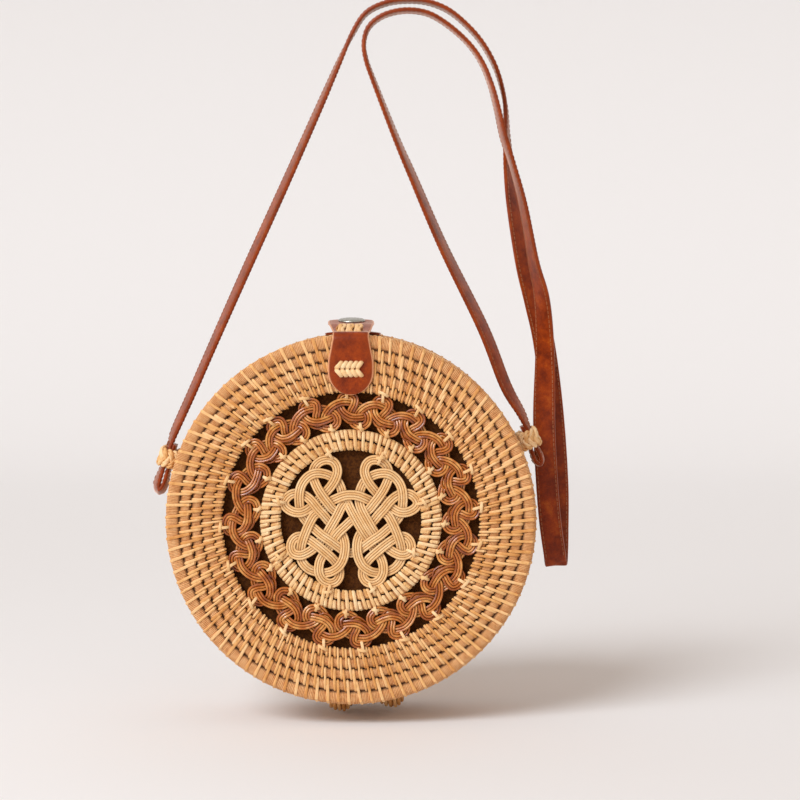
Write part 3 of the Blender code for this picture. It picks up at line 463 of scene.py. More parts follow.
def laySticks(
    bm, path, start, lean=weave["lean"], broader=1.0, count=weave["turns"],
    size=(weave["stickWidth"], weave["stickHeight"]), tone=(0.0, 1.0),
):
    # lays a ring of sticks over a path of (radius, depth) knots, each a little unlike the next
    tint = bm.verts.layers.float.get("tint") or bm.verts.layers.float.new("tint")
    fine = smoothCurve([Vector((*p[:2], 0.0)) for p in path], steps=8)
    stations = sorted({round(v.co.x, 4) for v in stick.vertices})
    even = spaced(fine, (fine[-1] - fine[0]).length / 60)
    total = sum((b - a).length for a, b in zip(even, even[1:]))
    spots = {}
    for share in stations:
        at = min(len(even) - 2, int(share * (len(even) - 1)))
        ahead = (even[at + 1] - even[at]).normalized()
        here = even[at].lerp(even[at + 1], share * (len(even) - 1) - at)
        spots[share] = (here, Vector((-ahead.y, ahead.x, 0.0)))
    for number in range(count):
        theta = start + math.tau * number / count + dice.uniform(-1, 1) * weave["unevenness"]
        shade = dice.uniform(*tone)
        tilt = lean * (1 + dice.uniform(-weave["leans"], weave["leans"]))
        broad = size[0] * broader * dice.uniform(*weave["widths"])
        tall = size[1] * dice.uniform(*weave["heights"])
        first = len(bm.verts)
        bm.from_mesh(stick)
        bm.verts.ensure_lookup_table()
        for v in bm.verts[first:]:
            here, out = spots[round(v.co.x, 4)]
            rho = here.x + out.x * v.co.z * tall
            shift = tilt * (0.5 - v.co.x) * total + v.co.y * broad
            v.co = polar(rho, theta + shift / max(rho, 0.004), here.y + out.y * v.co.z * tall)
            v[tint] = shade


def crossing(top, drop, mid):
    # how high a stick rides, from 0 to 1 of its way: out of a groove, over, and down into the next
    up = ((0.0, -drop), (0.1, top * 0.3), (0.25, top))
    return up + ((0.5, top - mid),) + tuple((1.0 - share, rise) for share, rise in reversed(up))


def facePath(outer, inner, side, top=0.0004, drop=0.0011, mid=0.00015, level=weave["crest"]):
    # over two coils of a face, from groove to groove, in the order that turns the cane's back outwards
    rows = [(outer * (1 - share) + inner * share, level + rise) for share, rise in crossing(top, drop, mid)]
    return rows[::-1] if side > 0 else [(rho, -y) for rho, y in rows]


def wallPath(near, far, side, top=0.0004, drop=0.0011, mid=0.00015):
    level = weave["wallCrest"]
    rows = [(level + rise, side * (near + (far - near) * share)) for share, rise in crossing(top, drop, mid)]
    return rows if side < 0 else rows[::-1]


def wallEdges():
    step = (weave["wallEnd"] - weave["wallStart"]) / weave["wallRows"]
    return [weave["wallStart"] + step * i for i in range(weave["wallRows"] + 1)]


def lapWall(sticks, side, start):
    edges = wallEdges()
    spans = [(edges[0], edges[1])] + list(zip(edges, edges[2:]))
    for k, (near, far) in enumerate(spans):
        first = start + side * (len(spans) - k) * weave["setShift"] * pitch
        laySticks(sticks, wallPath(near, far, side), first, -side * weave["lean"])


pitch = math.tau / weave["turns"]

# front face: five coils round the openwork, then the sticks that lap two coils at a time
rows = weave["frontRows"][::-1]
rings = []
for outer, inner in zip(rows, rows[1:]):
    rings.append(coil(
        (outer + inner) / 2 - (weave["rimIn"] if outer == weave["radius"] else 0.0),
        weave["faceThick"] - weave["crest"], (outer - inner) / 2 * weave["overlap"], weave["faceThick"],
    ))
makePiece("frontFaceCoils", turnCoils(rings, "face"), core, "front_shell", ["front_face_weave"])

# the sticks of the outermost row start on the wall and turn over the edge, as (radius, depth)
corner = [
    (0.0995, 0.0352), (0.1, 0.0362), (0.09985, 0.0376), (0.0991, 0.0389), (0.0977, 0.0397),
    (0.096, 0.03985), (0.0942, 0.0394), (0.0929, 0.0387), (0.0917, 0.0391), (0.0898, 0.03985),
    (0.088, 0.0396), (0.0866, 0.0383),
]
bm = bmesh.new()
turned = [(rho, -depth) for rho, depth in corner]
laySticks(bm, turned, weave["cornerShift"] * pitch, broader=weave["cornerWidth"])
for k, (outer, inner) in enumerate(zip(rows[1:], rows[3:]), 1):
    broader = (outer + inner) / 2 / weave["widthHoldsAt"]
    laySticks(bm, facePath(outer, inner, -1), -k * weave["setShift"] * pitch, broader=broader)
path = facePath(rows[-2] + weave["outTuck"], rows[-1] - weave["inTuck"], -1)
laySticks(bm, path, -4 * weave["setShift"] * pitch, broader=weave["openworkWidth"])
makePiece("frontFaceSticks", bm, straw, "front_shell")

for side, body, half in halves:
    edges = wallEdges()
    rings = [
        coil(
            weave["wallCrest"] - weave["wallThick"], side * (near + far) / 2, weave["wallThick"],
            (far - near) / 2 * weave["overlap"],
        )
        for near, far in zip(edges, edges[1:])
    ]
    sticks = bmesh.new()
    lapWall(sticks, side, weave["setShift"] * pitch)
    makePiece(half + "WallCoils", turnCoils(rings, "wall"), core, body, [half + "_wall_weave"])
    makePiece(half + "WallSticks", sticks, straw, body)

# back face: a closed disc of fourteen coils, its sticks fewer as the coils get smaller, and a button
button = {"radius": 0.0042, "sunk": 0.0014, "half": 0.0016}
sticks = bmesh.new()
step = weave["radius"] / weave["backRows"]
rings = []
for k in range(weave["backRows"]):
    outer = weave["radius"] - step * k
    rings.append(coil(
        outer - step / 2, weave["crest"] - weave["faceThick"], step / 2 * weave["overlap"],
        weave["faceThick"],
    ))
    inner = outer - 2 * step
    if k and inner > 0:
        count = max(6, round(math.tau * (outer - step) / weave["backPitch"]))
        path = facePath(outer, inner + weave["inTuck"], 1)
        laySticks(sticks, path, k * weave["setShift"] * math.tau / count, -weave["lean"], count=count)
bm = turnCoils(rings, "face", steps=309, sides=10)
for v in bmesh.ops.create_uvsphere(bm, u_segments=24, v_segments=12, radius=1.0)["verts"]:
    v.co = Vector((
        v.co.x * button["radius"], weave["crest"] - button["sunk"] + v.co.z * button["half"],
        v.co.y * button["radius"],
    ))
makePiece("backFaceCoils", bm, core, "bag_back", ["back_face_weave"])
laySticks(sticks, corner[::-1], 0.0, -weave["lean"], weave["cornerWidth"])
makePiece("backFaceSticks", sticks, straw, "bag_back")

# rim hoops at the seam, wrapped closely with split cane, with painted shade in the crevices between wraps
hoop = {
    "radius": 0.0978, "depth": 0.00225, "halfRadial": 0.0021, "halfDepth": 0.00205, "wraps": 300,
    "shade": 0.55,
}
for side, body, half in halves:
    ring = coil(hoop["radius"], side * hoop["depth"], hoop["halfRadial"], hoop["halfDepth"], hoop["wraps"])
    bm = turnCoils([ring], "face", steps=hoop["wraps"] * 3, sides=10)
    paintedGrooveShade = bm.verts.layers.float["paintedGrooveShade"]
    # painted shade: darkest where two wraps meet, none on each wrap's crest
    for v in bm.verts:
        v[paintedGrooveShade] = hoop["shade"] * (1 - abs(math.sin(math.atan2(v.co.z, v.co.x) * hoop["wraps"] / 2)))
    makePiece(half + "RimHoop", bm, core, body, [half + "_rim_hoop"])

print("inner ring, chain and knot")
innerRing = {
    "inner": 0.0384, "outer": 0.0490, "wraps": 62, "crest": 0.0389, "thick": 0.00155,
    "long": (0.0021, 0.0015), "short": (0.0019, 0.0013), "gap": 0.0006, "lean": 0.15,
}
width = (innerRing["outer"] - innerRing["inner"]) / 2
rings = [
    coil(
        innerRing["outer"] - width * (k + 0.5), innerRing["thick"] - innerRing["crest"], width / 2 * 1.02,
        innerRing["thick"], innerRing["wraps"] * 2,
    )
    for k in range(2)
]
bm = turnCoils(rings, "face", steps=innerRing["wraps"] * 4)
makePiece("innerRingCoils", bm, core, "front_shell", ["front_inner_ring"])
bm = bmesh.new()
ringPitch = math.tau / innerRing["wraps"]
middle = innerRing["outer"] - width
# the long sticks on top take the lightest tints and the lower inner short ones the darkest: painted shade
for outer, inner, turn, size, low, tone in (
    (innerRing["outer"] - 0.0001, innerRing["inner"] - 0.0003, 0.0, innerRing["long"], 0.0, (0.45, 1.0)),
    (innerRing["outer"] - 0.0002, middle + innerRing["gap"], -0.48, innerRing["short"], 0.0, (0.3, 0.9)),
    (middle - innerRing["gap"], innerRing["inner"] - 0.0002, -0.5, innerRing["short"], 0.0002, (0.0, 0.5)),
):
    path = facePath(outer, inner, -1, level=innerRing["crest"] - low, mid=0.0003)
    laySticks(
        bm, path, turn * ringPitch, innerRing["lean"], count=innerRing["wraps"], size=size, tone=tone,
    )
makePiece("innerRingWraps", bm, peeled, "front_shell")

chain = {
    "strand": 0.00145, "radius": 0.0007, "lift": 0.00095, "depth": -0.0383, "bands": 2,
    "ties": (
        92.0, 75.5, 58.7, 40.8, 23.3, 5.9, -10.6, -28.7, -48.0, -65.7,
        -84.8, -102.4, -121.2, -140.2, -159.6, -176.9, -198.1, -216.5, -230.8, -249.1,
    ),
    "route": (
        (0.0589, -0.61, 0.0), (0.0624, -0.39, 0.6), (0.0641, -0.145, 1.0), (0.0638, 0.08, 0.0),
        (0.0624, 0.33, -1.0), (0.0602, 0.53, -1.0), (0.057, 0.69, 0.8), (0.0532, 0.69, 0.6),
        (0.0509, 0.5, 0.0), (0.0516, 0.27, -0.6), (0.0546, 0.11, -1.7), (0.0588, 0.12, 0.0),
        (0.0626, 0.22, 1.0), (0.066, 0.23, 0.5), (0.0679, 0.09, 0.0), (0.0671, -0.1, -0.6),
        (0.064, -0.18, -1.0), (0.0604, -0.16, 0.2), (0.0576, -0.05, 1.0), (0.0558, 0.155, 1.0),
        (0.056, 0.445, 0.4), (0.0574, 0.66, -1.0), (0.0593, 0.8, -0.8), (0.0558, 0.95, -0.7),
        (0.0539, 1.12, -0.6), (0.0554, 1.29, -0.8),
    ),
}


def tieAngle(turn):
    # clockwise from the first tie, counted in ties
    count = len(chain["ties"])
    whole = math.floor(turn)
    near = chain["ties"][whole % count] - 360 * (whole // count)
    far = chain["ties"][(whole + 1) % count] - 360 * ((whole + 1) // count)
    return math.radians(near + (far - near) * (turn - whole))


def strandLines(line, level, offsets, lift, depth, closed):
    # parallel strands of one flat band, side by side
    lines = []
    for offset in offsets:
        strand = []
        for i, place in enumerate(line):
            across = heading(line, i, closed).cross(backward).normalized()
            strand.append(place + across * offset + Vector((0.0, depth - level[i] * lift, 0.0)))
        lines.append(strand)
    return lines


def addCrease(bm, paintedShadeFrom=0.62, paintedShadeOver=0.6):
    # marks the sides of the strands, which lie in the shade of their neighbours
    bm.normal_update()
    crease = bm.verts.layers.float.new("crease")
    for v in bm.verts:
        v[crease] = min(1.0, max(0.0, (paintedShadeFrom + v.normal.y) / paintedShadeOver))


bm = bmesh.new()
for first in range(chain["bands"]):
    rough = []
    for lap in range(len(chain["ties"]) // chain["bands"]):
        for rho, turn, level in chain["route"]:
            place = polar(rho, tieAngle(first + lap * chain["bands"] + turn))
            rough.append(Vector((*place, level)))
    fine = spaced(smoothCurve(rough, True), 0.0009, True)
    addCanes(
        bm, strandLines(
            [p.xyz for p in fine], [p.w for p in fine], [chain["strand"] * k for k in (-1, 0, 1)],
            chain["lift"], chain["depth"], True,
        ), chain["radius"], closed=True, resolution=2, shades=[dice.uniform(0.2, 0.9) for _ in range(3)],
    )
addCrease(bm)
makePiece("chainRing", bm, smoked, "front_shell", ["front_chain_ring"])

knot = {
    "centre": (352.2, 520.9), "scale": 0.000535, "strand": 0.00131, "radius": 0.00067,
    "lift": 0.00078, "depth": -0.0384,
    "arch": (
        (351.6, 495.0, 1), (359.5, 495.8, 1), (367.4, 499.0, 0.6), (372.6, 501.9, -0.9),
        (377.1, 507.7, -1), (382.5, 512.0, -1), (389.2, 515.6, 0.3), (394.2, 524.0, 1),
        (397.8, 532.2, 1), (400.9, 540.5, 0.9), (402.6, 547.6, -0.4), (403.0, 554.0, -1),
        (402.2, 561.4, -0.7), (398.4, 567.0, 0), (393.4, 571.0, -0.8), (384.8, 573.6, -1),
        (377.6, 574.0, 0), (370.8, 571.9, 0.9), (364.3, 567.0, 1), (360.2, 560.0, 0.8),
        (358.4, 552.3, 1), (358.2, 544.9, 0.6), (359.9, 538.0, -0.4), (363.0, 532.8, -1),
        (368.5, 527.2, -1), (374.9, 521.4, -0.3), (380.0, 515.0, 1), (385.6, 508.9, 1),
        (390.9, 502.2, 0.8), (396.5, 497.2, -0.2), (403.4, 493.9, -1), (409.8, 493.8, -0.5),
        (414.4, 495.7, 0), (418.2, 499.7, 0), (419.3, 503.9, 0), (416.8, 508.4, 0),
        (410.6, 512.0, 0.5), (403.4, 512.8, 1), (397.2, 510.6, 0.1), (391.2, 506.4, -1),
        (385.6, 500.9, -1), (380.6, 495.4, -1), (376.0, 490.6, 0), (371.3, 484.6, 0.9),
        (367.7, 478.3, 1), (365.8, 471.2, 0.5), (367.4, 464.7, 0), (371.4, 460.7, 0),
        (377.1, 459.6, 0), (382.9, 461.2, 0), (387.2, 464.9, -0.4), (389.8, 470.3, -1),
        (390.2, 477.3, -0.7), (388.1, 483.6, 0.2), (384.6, 490.5, 1), (379.6, 498.0, 1),
        (374.8, 504.2, 1), (370.6, 509.6, 0), (364.6, 514.2, -1), (358.6, 517.6, -1),
    ),
    "tail": ((352.6, 521.0, -0.2), (346.4, 526.6, 0.8), (339.6, 533.0, 1), (335.4, 538.6, 0.2)),
    "cross": (
        (348.2, 502.6, -0.9), (351.4, 509.0, 0.3), (355.6, 516.8, 1), (360.2, 525.0, 1),
        (364.8, 532.8, 1), (368.2, 538.0, -0.1),
    ),
    "lobe": (
        (371.0, 542.4, -1), (374.8, 549.0, -1), (379.6, 555.2, -1), (383.6, 562.2, 0.2),
        (384.9, 571.0, 1), (383.2, 577.6, 0.6), (379.6, 582.3, 0), (373.7, 584.6, 0),
        (367.4, 582.6, 0), (364.0, 577.0, -0.5), (364.4, 570.4, -1), (367.0, 564.6, -0.8),
        (371.6, 558.8, 0.4), (378.4, 552.6, 1), (385.6, 546.6, 1), (393.2, 541.2, 0.1),
        (400.2, 537.6, -1), (406.4, 537.4, -0.4), (410.8, 540.7, 0), (412.9, 545.9, 0),
        (412.5, 551.2, 0), (409.3, 555.0, 0.4), (402.9, 556.0, 1), (395.9, 553.4, 0.3),
        (390.2, 549.6, -0.7), (385.2, 544.6, -1), (380.8, 539.2, -1), (376.9, 534.6, -0.3),
    ),
    "tip": ((345.4, 503.4, -0.7), (347.4, 498.2, -1)),
    "ties": (
        (331, 455), (381, 460), (282, 502), (423, 503), (283, 556), (330, 590), (373, 588), (413, 552),
    ),
    "rise": (
        (373.2, 528.4, 1), (369.2, 521.6, 1), (365.4, 514.8, 1), (362.2, 508.2, 0.2), (360.6, 502.1, -0.9),
    ),
    "crown": (
        (360.6, 495.0, -1), (362.3, 488.0, -0.4), (366.4, 480.8, -1), (373.2, 476.0, -0.4),
        (380.6, 473.4, 0.3), (388.6, 473.2, 1), (395.3, 476.4, 0.5), (400.5, 482.3, 0.2),
        (403.4, 489.0, 0.9), (404.5, 496.8, 0.8), (404.2, 504.9, -0.3), (403.2, 512.1, -1),
        (399.6, 518.8, -0.8), (394.6, 524.6, -1), (388.2, 530.2, 0), (381.4, 535.9, 1),
        (372.9, 541.6, 1), (366.0, 546.9, 0), (359.4, 551.6, -1), (352.5, 553.9, -1),
    ),
}


def otherSide(points):
    return [(2 * knot["centre"][0] - x, y, level) for x, y, level in points]


def knotBand(points, closed):
    # level travels with each place as a fourth number
    rough = [Vector((
        (x - knot["centre"][0]) * knot["scale"], 0.0, (knot["centre"][1] - y) * knot["scale"], level,
    )) for x, y, level in points]
    fine = spaced(smoothCurve(rough, closed), 0.0009, closed)
    line = [p.xyz for p in fine]
    level = [p.w for p in fine]
    offsets = [knot["strand"] * k for k in (-1.5, -0.5, 0.5, 1.5)]
    return strandLines(line, level, offsets, knot["lift"], knot["depth"], closed)


openBand = (
    otherSide(knot["arch"])[::-1][1:-1] + [*knot["arch"], *knot["tail"]]
    + otherSide(knot["lobe"]) + otherSide(knot["rise"])[:-1] + [*knot["tip"]]
)
closedBand = [*knot["cross"], *knot["lobe"], *knot["rise"], *knot["crown"]]
closedBand += otherSide(knot["crown"])[::-1][1:]
for name, points, closed, node in (
    ("knotOpenBand", openBand, False, "front_knot_open_band"),
    ("knotClosedBand", closedBand, True, "front_knot_closed_band"),
):
    bm = bmesh.new()
    strands = knotBand(points, closed)
    addCanes(bm, strands, knot["radius"], closed=closed, resolution=2, shades=(0.5, 0.75, 0.4, 0.65))
    addCrease(bm)
    makePiece(name, bm, peeled, "front_shell", [node])

# split-cane ties that lash the chain to its two rings and the knot to the inner one
# each cane of a tie is its turn from straight outwards, its length and its shift outwards
ties = {
    "outer": 0.0694, "inner": 0.0502, "innerTurn": 0.48, "innerSunk": 0.0004, "width": 0.0017, "thick": 0.001,
    "outerCanes": ((0.1, 0.006, -0.0006), (1.35, 0.0058, 0.0012)),
    "innerCanes": ((0.12, 0.0046, 0.0004), (1.15, 0.0036, 0.0)),
    "knotCanes": ((0.1, 0.0072, 0.0), (-1.1, 0.0046, 0.0004)), "knotReach": 1.03, "knotProud": 0.0002,
    "rises": ((-0.5, -0.0012), (-0.4, 0.0004), (0.0, 0.0013), (0.4, 0.0004), (0.5, -0.0012)),
}
bm = bmesh.new()


def lash(bm, middle, strands):
    outward = Vector((middle.x, 0.0, middle.z)).normalized()
    aside = Vector((-outward.z, 0.0, outward.x))
    for turn, length, shift in strands:
        turn += dice.uniform(-0.15, 0.15)
        way = outward * math.cos(turn) + aside * math.sin(turn)
        places = []
        for share, rise in ties["rises"]:
            proud = Vector((0.0, rise + abs(turn) * 0.0003, 0.0))
            places.append(middle + outward * shift + way * (share * length) - proud)
        line = spaced(smoothCurve(places, steps=4), 0.0008)
        shade = dice.uniform(0.4, 0.95)
        addStrand(bm, line, -backward, ties["width"], ties["thick"], 6, shade)


for k in range(len(chain["ties"])):
    lash(bm, polar(ties["outer"], tieAngle(k), -weave["crest"]), ties["outerCanes"])
    inward = polar(ties["inner"], tieAngle(k + ties["innerTurn"]), -weave["crest"] + ties["innerSunk"])
    lash(bm, inward, ties["innerCanes"])
for x, y in knot["ties"]:
    spot = Vector((x - knot["centre"][0], 0.0, knot["centre"][1] - y)) * knot["scale"] * ties["knotReach"]
    lash(bm, spot - backward * (weave["crest"] + ties["knotProud"]), ties["knotCanes"])
makePiece("openworkTies", bm, peeled, "front_shell")

print("lining")
# the profile in (radius, depth), out along the outside and back along the inside
lining = (
    (0.0, 0.0344), (0.0935, 0.0344), (0.0955, 0.0325), (0.0956, 0.0102), (0.0947, 0.01),
    (0.0947, 0.032), (0.0932, 0.0336), (0.0, 0.0336),
)
for side, body, half in halves:
    bm = turnProfile([(rho, side * depth, 0.0) for rho, depth in lining], backward, 96, 1e-6)
    makePiece(half + "Lining", bm, cloth, body, [half + "_lining"])

print("closure")
closure = {
    "seat": 0.1003, "thick": 0.0015, "face": -0.0403, "foot": 0.068, "width": 0.0247, "waist": 0.0196,
    "bend": 0.0035, "hinge": -0.0138, "end": 0.027, "endWidth": 0.0258, "level": 0.1044, "snap": 0.018,
    "curl": math.radians(7.0), "drift": 0.0014,
}


def closureRows():
    # (depth, height, width) of the leather's lower face from its round foot up, over and back
    c = closure
    rows = []
    for step in range(9):
        angle = math.pi / 2 * step / 9
        height = c["foot"] + c["width"] / 2 * (1 - math.cos(angle))
        rows.append((c["face"], height, c["width"] * max(math.sin(angle), 0.16)))
    for share, wide in ((0.0, 1.0), (0.35, 0.99), (0.7, 0.9), (1.0, 0.82)):
        start = c["foot"] + c["width"] / 2
        rows.append((c["face"], start + (c["seat"] - c["bend"] - start) * share, c["width"] * wide))
    for step in range(1, 7):
        angle = math.pi / 2 * step / 6
        rows.append((
            c["face"] + c["bend"] * (1 - math.cos(angle)), c["seat"] - c["bend"] * (1 - math.sin(angle)),
            c["waist"],
        ))
    rows.append((-0.026, c["seat"], c["waist"]))
    rows.append((c["hinge"] - 0.004, c["seat"], c["waist"]))
    flat = c["snap"] - 0.0075
    for step in range(13):
        share = step / 12
        lift = (1 - math.cos(math.pi * share)) / 2
        rows.append((
            c["hinge"] + (flat - c["hinge"]) * share, c["seat"] + (c["level"] - c["seat"]) * lift,
            c["waist"] + (c["endWidth"] - c["waist"]) * share,
        ))
    for share, wide in ((0.3, 1.0), (0.7, 1.0), (0.85, 0.96), (0.94, 0.84), (1.0, 0.6)):
        out = (c["end"] - flat) * share
        rows.append((flat + out, c["level"] + out * math.tan(c["curl"]), c["endWidth"] * wide))
    return rows


def leatherBand(bm, line, ups, sizes, sides=16, square=0.42, rawnessAndHighlight=1.0):
    edgeLayer = bm.verts.layers.float.get("edge") or bm.verts.layers.float.new("edge")
    rings = sweep(bm, line, ups, sizes, sides=sides, square=square)
    for i, ring in enumerate(rings):
        along = heading(line, i)
        wide = along.cross(ups[i]).normalized()
        for v in ring:
            aside = abs((v.co - line[i]).dot(wide)) / (sizes[i][0] / 2)
            v[edgeLayer] = aside
    for ring, least in ((rings[0], 1.0), (rings[1], 0.9), (rings[-2], 0.9), (rings[-1], 1.0)):
        for v in ring:
            v[edgeLayer] = max(least, v[edgeLayer])
    # this share scales the edge mask; below about 0.97 the painted highlight line is never reached
    for v in bm.verts:
        v[edgeLayer] *= rawnessAndHighlight


rows = [Vector((w, d, h)) for d, h, w in closureRows()]
fine = spaced([Vector((p.y, p.z, p.x)) for p in smoothCurve(rows, steps=4)], 0.0011)
line = []
for p in fine:
    past = max(0.0, p.x - closure["hinge"]) / (closure["end"] - closure["hinge"])
    line.append(Vector((-closure["drift"] * past, p.x, p.y)))
ups = [rightward.cross(heading(line, i)).normalized() for i in range(len(line))]
line = [p + u * closure["thick"] / 2 for p, u in zip(line, ups)]
bm = bmesh.new()
leatherBand(bm, line, ups, [(p.z, closure["thick"]) for p in fine])
piece = makePiece("closureLeather", bm, hide, None, ["front_tab", "closure_flap"])
hingeLine = bagCentre + Vector((0.0, closure["hinge"], closure["seat"]))
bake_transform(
    piece, "front_shell", "flap",
    hingeLine + Vector((0.0, -0.0025, 0.0)), hingeLine + Vector((0.0, 0.0035, 0.0)),
)

# patch under the snap
patch = {"thick": 0.0011, "width": 0.031, "near": 0.0055, "far": 0.031, "rounding": 0.055}
bm = bmesh.new()
middle = (patch["near"] + patch["far"]) / 2
bmesh.ops.create_grid(bm, x_segments=16, y_segments=12, size=0.5)
edgeLayer = bm.verts.layers.float.new("edge")
rimVerts = {v for e in bm.edges if e.is_boundary for v in e.verts}
for v in bm.verts:
    x, y = v.co.x * 2, v.co.y * 2
    pull = 1 - patch["rounding"] * (abs(x) * abs(y)) ** 4
    halfDepth = (patch["far"] - patch["near"]) / 2
    v.co = Vector((x * pull * patch["width"] / 2, middle + y * pull * halfDepth, 0.0))  # rounded corners
    v[edgeLayer] = 0.85 if v in rimVerts else 0.0
bmesh.ops.solidify(bm, geom=bm.faces[:], thickness=patch["thick"])
low = min(v.co.z for v in bm.verts)
for v in bm.verts:
    rho = closure["seat"] + v.co.z - low
    angle = math.pi / 2 - v.co.x / closure["seat"]
    v.co = polar(rho, angle, v.co.y)
makePiece("backPatch", bm, hide, "bag_back", ["back_patch"])

# snap: cap and socket on the flap, stud on the patch


def turnedDisc(profile, place, tilt=0.0):
    bm = turnProfile([(rho, 0.0, z) for rho, z in profile], (0.0, 0.0, 1.0), 48, 1e-7)
    seated = Matrix.Translation(place) @ Matrix.Rotation(tilt, 4, "X")
    bmesh.ops.transform(bm, matrix=seated, verts=bm.verts[:])
    return bm


snap = {
    "cap": 0.0075, "top": 0.1068, "under": 0.1043, "socket": 0.0055, "stud": 0.005, "studSeat": 0.1021,
    "capAside": -0.0008,
}
bm = turnedDisc([
    (0.0, 0.0), (snap["cap"] - 0.0004, 0.0), (snap["cap"], 0.0002), (snap["cap"] + 0.0001, 0.0006),
    (snap["cap"] - 0.0002, 0.00105), (snap["cap"] - 0.0009, 0.00135), (snap["cap"] * 0.7, 0.0016),
    (snap["cap"] * 0.4, 0.00185), (0.0, 0.002),
], (snap["capAside"], closure["snap"], snap["top"]), closure["curl"])
makePiece("snapCap", bm, nickel, "flap", ["snap_cap"], crease=50)
bm = turnedDisc([
    (0.0, 0.0004), (0.0021, 0.0004), (0.0022, 0.0001), (0.0026, 0.0), (snap["socket"] - 0.0004, 0.0),
    (snap["socket"], 0.0002), (snap["socket"], 0.0006), (0.0, 0.0007),
], (0.0, closure["snap"], snap["under"]), closure["curl"])
makePiece("snapSocket", bm, nickel, "flap", ["snap_socket"], crease=50)
bm = turnedDisc([
    (0.0, 0.0), (snap["stud"], 0.0), (snap["stud"], 0.0004), (snap["stud"] - 0.0003, 0.0006),
    (0.0024, 0.0006), (0.0019, 0.0007), (0.002, 0.0009), (0.0017, 0.001), (0.0, 0.001),
], (0.0, closure["snap"], snap["studSeat"]))
makePiece("snapStud", bm, nickel, "bag_back", ["snap_stud"], crease=50)

# cane stitches through the tab, on the face and on top
stitches = {
    "face": {"level": 0.0818, "span": 0.0108, "height": 0.0078, "shift": -0.0008, "count": 5, "cane": 0.0024},
    "top": {"level": -0.0215, "span": 0.0112, "shift": -0.0012, "count": 6, "cane": (0.0023, 0.0013)},
}


def plaitStitches(bm, origin, span, height, count, cane):
    # two rows of slanting cane stitches that meet point to point, like arrow heads that look left
    for k in range(count):
        along = (k / (count - 1) - 0.5) * span
        for side in (1, -1):
            lean = dice.uniform(0.0019, 0.0025)
            places = [
                origin + Vector((along + lean * aslant, depth, side * height * level))
                for aslant, depth, level in (
                    (-0.6, 0.0006, 0.02), (-0.5, -0.0008, 0.1), (0.0, -0.0013, 0.27),
                    (0.5, -0.0007, 0.45), (0.6, 0.0006, 0.51),
                )
            ]
            shade = dice.uniform(0.75, 1.0)
            addStrand(bm, smoothCurve(places, steps=4), -backward, cane, cane * 0.5, 8, shade)


bm = bmesh.new()
sewn = stitches["face"]
origin = Vector((sewn["shift"], closure["face"] - closure["thick"], sewn["level"]))
plaitStitches(bm, origin, sewn["span"], sewn["height"], sewn["count"], sewn["cane"])
makePiece("tabFaceStitches", bm, peeled, "front_shell", ["tab_face_stitches"])
bm = bmesh.new()
top = closure["seat"] + closure["thick"]
sewn = stitches["top"]
for k in range(sewn["count"]):
    x = (k / (sewn["count"] - 1) - 0.5) * sewn["span"] + sewn["shift"]
    turn = (-1) ** k
    places = [Vector((x + lean, sewn["level"] + along, top + rise)) for along, rise, lean in (
        (-0.0048, -0.0004, 0.0), (-0.0042, 0.0014, 0.0006 * turn), (-0.0014, 0.0031 + 0.0004 * turn, 0.0009),
        (0.0014, 0.0032 - 0.0004 * turn, 0.0002), (0.0042, 0.0014, -0.0008 * turn), (0.0048, -0.0004, 0.0),
    )]
    line = smoothCurve(places, steps=4)
    ups = [heading(line, i).cross(rightward) for i in range(len(line))]
    addStrand(bm, line, ups, *sewn["cane"], 8, dice.uniform(0.3, 0.9))
makePiece("tabTopStitches", bm, peeled, "front_shell", ["tab_top_stitches"])

print("hinge loops and keepers")
loops = {
    "radius": 0.0084, "cane": 0.0011, "turns": 6, "width": 0.0128, "spacing": 0.0285,
    "angle": math.radians(4.3), "hinge": 0.1004, "points": 40, "barrel": 1.2, "unround": 0.03,
    "sway": 0.0004,
}
for side, node in ((-1, "left"), (1, "right")):
    bm = bmesh.new()
    lines = []
    for k in range(loops["turns"]):
        aside = k / (loops["turns"] - 1) - 0.5
        bowl = loops["radius"] * (1 - loops["barrel"] * aside ** 2)
        x = side * loops["spacing"] / 2 + aside * (loops["width"] - 2 * loops["cane"])
        line = []
        for i in range(loops["points"]):
            angle = math.tau * i / loops["points"]
            reach = bowl * (1 + loops["unround"] * math.sin(3 * angle + k * 2.1))
            line.append(Vector((
                x + loops["sway"] * math.sin(angle + k), reach * math.cos(angle), reach * math.sin(angle),
            )))
        lines.append(line)
    addCanes(bm, lines, loops["cane"], closed=True, resolution=2)
    turn = Matrix.Rotation(-loops["angle"], 4, "Y")
    shift = Matrix.Translation(polar(loops["hinge"], loops["angle"] - math.pi / 2))
    bmesh.ops.transform(bm, matrix=shift @ turn, verts=bm.verts[:])
    makePiece("hingeLoop" + node.capitalize(), bm, straw, "bag_back", ["hinge_loop_" + node])

keeper = {
    "left": math.radians(17), "right": math.radians(23), "setback": 0.0045, "openWidth": 0.0185,
    "openHeight": 0.008, "thick": 0.0028, "length": 0.013, "seat": 0.1003, "waves": 6, "cane": 0.00092,
    "canes": 2, "sway": 0.0038, "lower": 0.0006, "snugHeight": 0.0064, "round": 0.0036,
    "crossing": 0.0008, "twinGap": 1.8,
}
keeper["middle"] = keeper["seat"] + keeper["thick"] + keeper["openHeight"] / 2


def keeperFrame(angle, right):
    outward = polar(1.0, angle if right else math.pi - angle)
    down = Vector((outward.z, 0.0, -outward.x)) if right else Vector((-outward.z, 0.0, outward.x))
    return outward, down, outward * keeper["middle"] + Vector((0.0, keeper["setback"], 0.0))


def roundLoop(width, height, corner, steps=5):
    points = []
    for quarter, (a, b) in enumerate(((1, 1), (-1, 1), (-1, -1), (1, -1))):
        for step in range(steps + 1):
            angle = math.pi / 2 * (quarter + step / steps)
            points.append(Vector((
                a * (height / 2 - corner) + corner * math.cos(angle),
                b * (width / 2 - corner) + corner * math.sin(angle), 0.0,
            )))
    return points


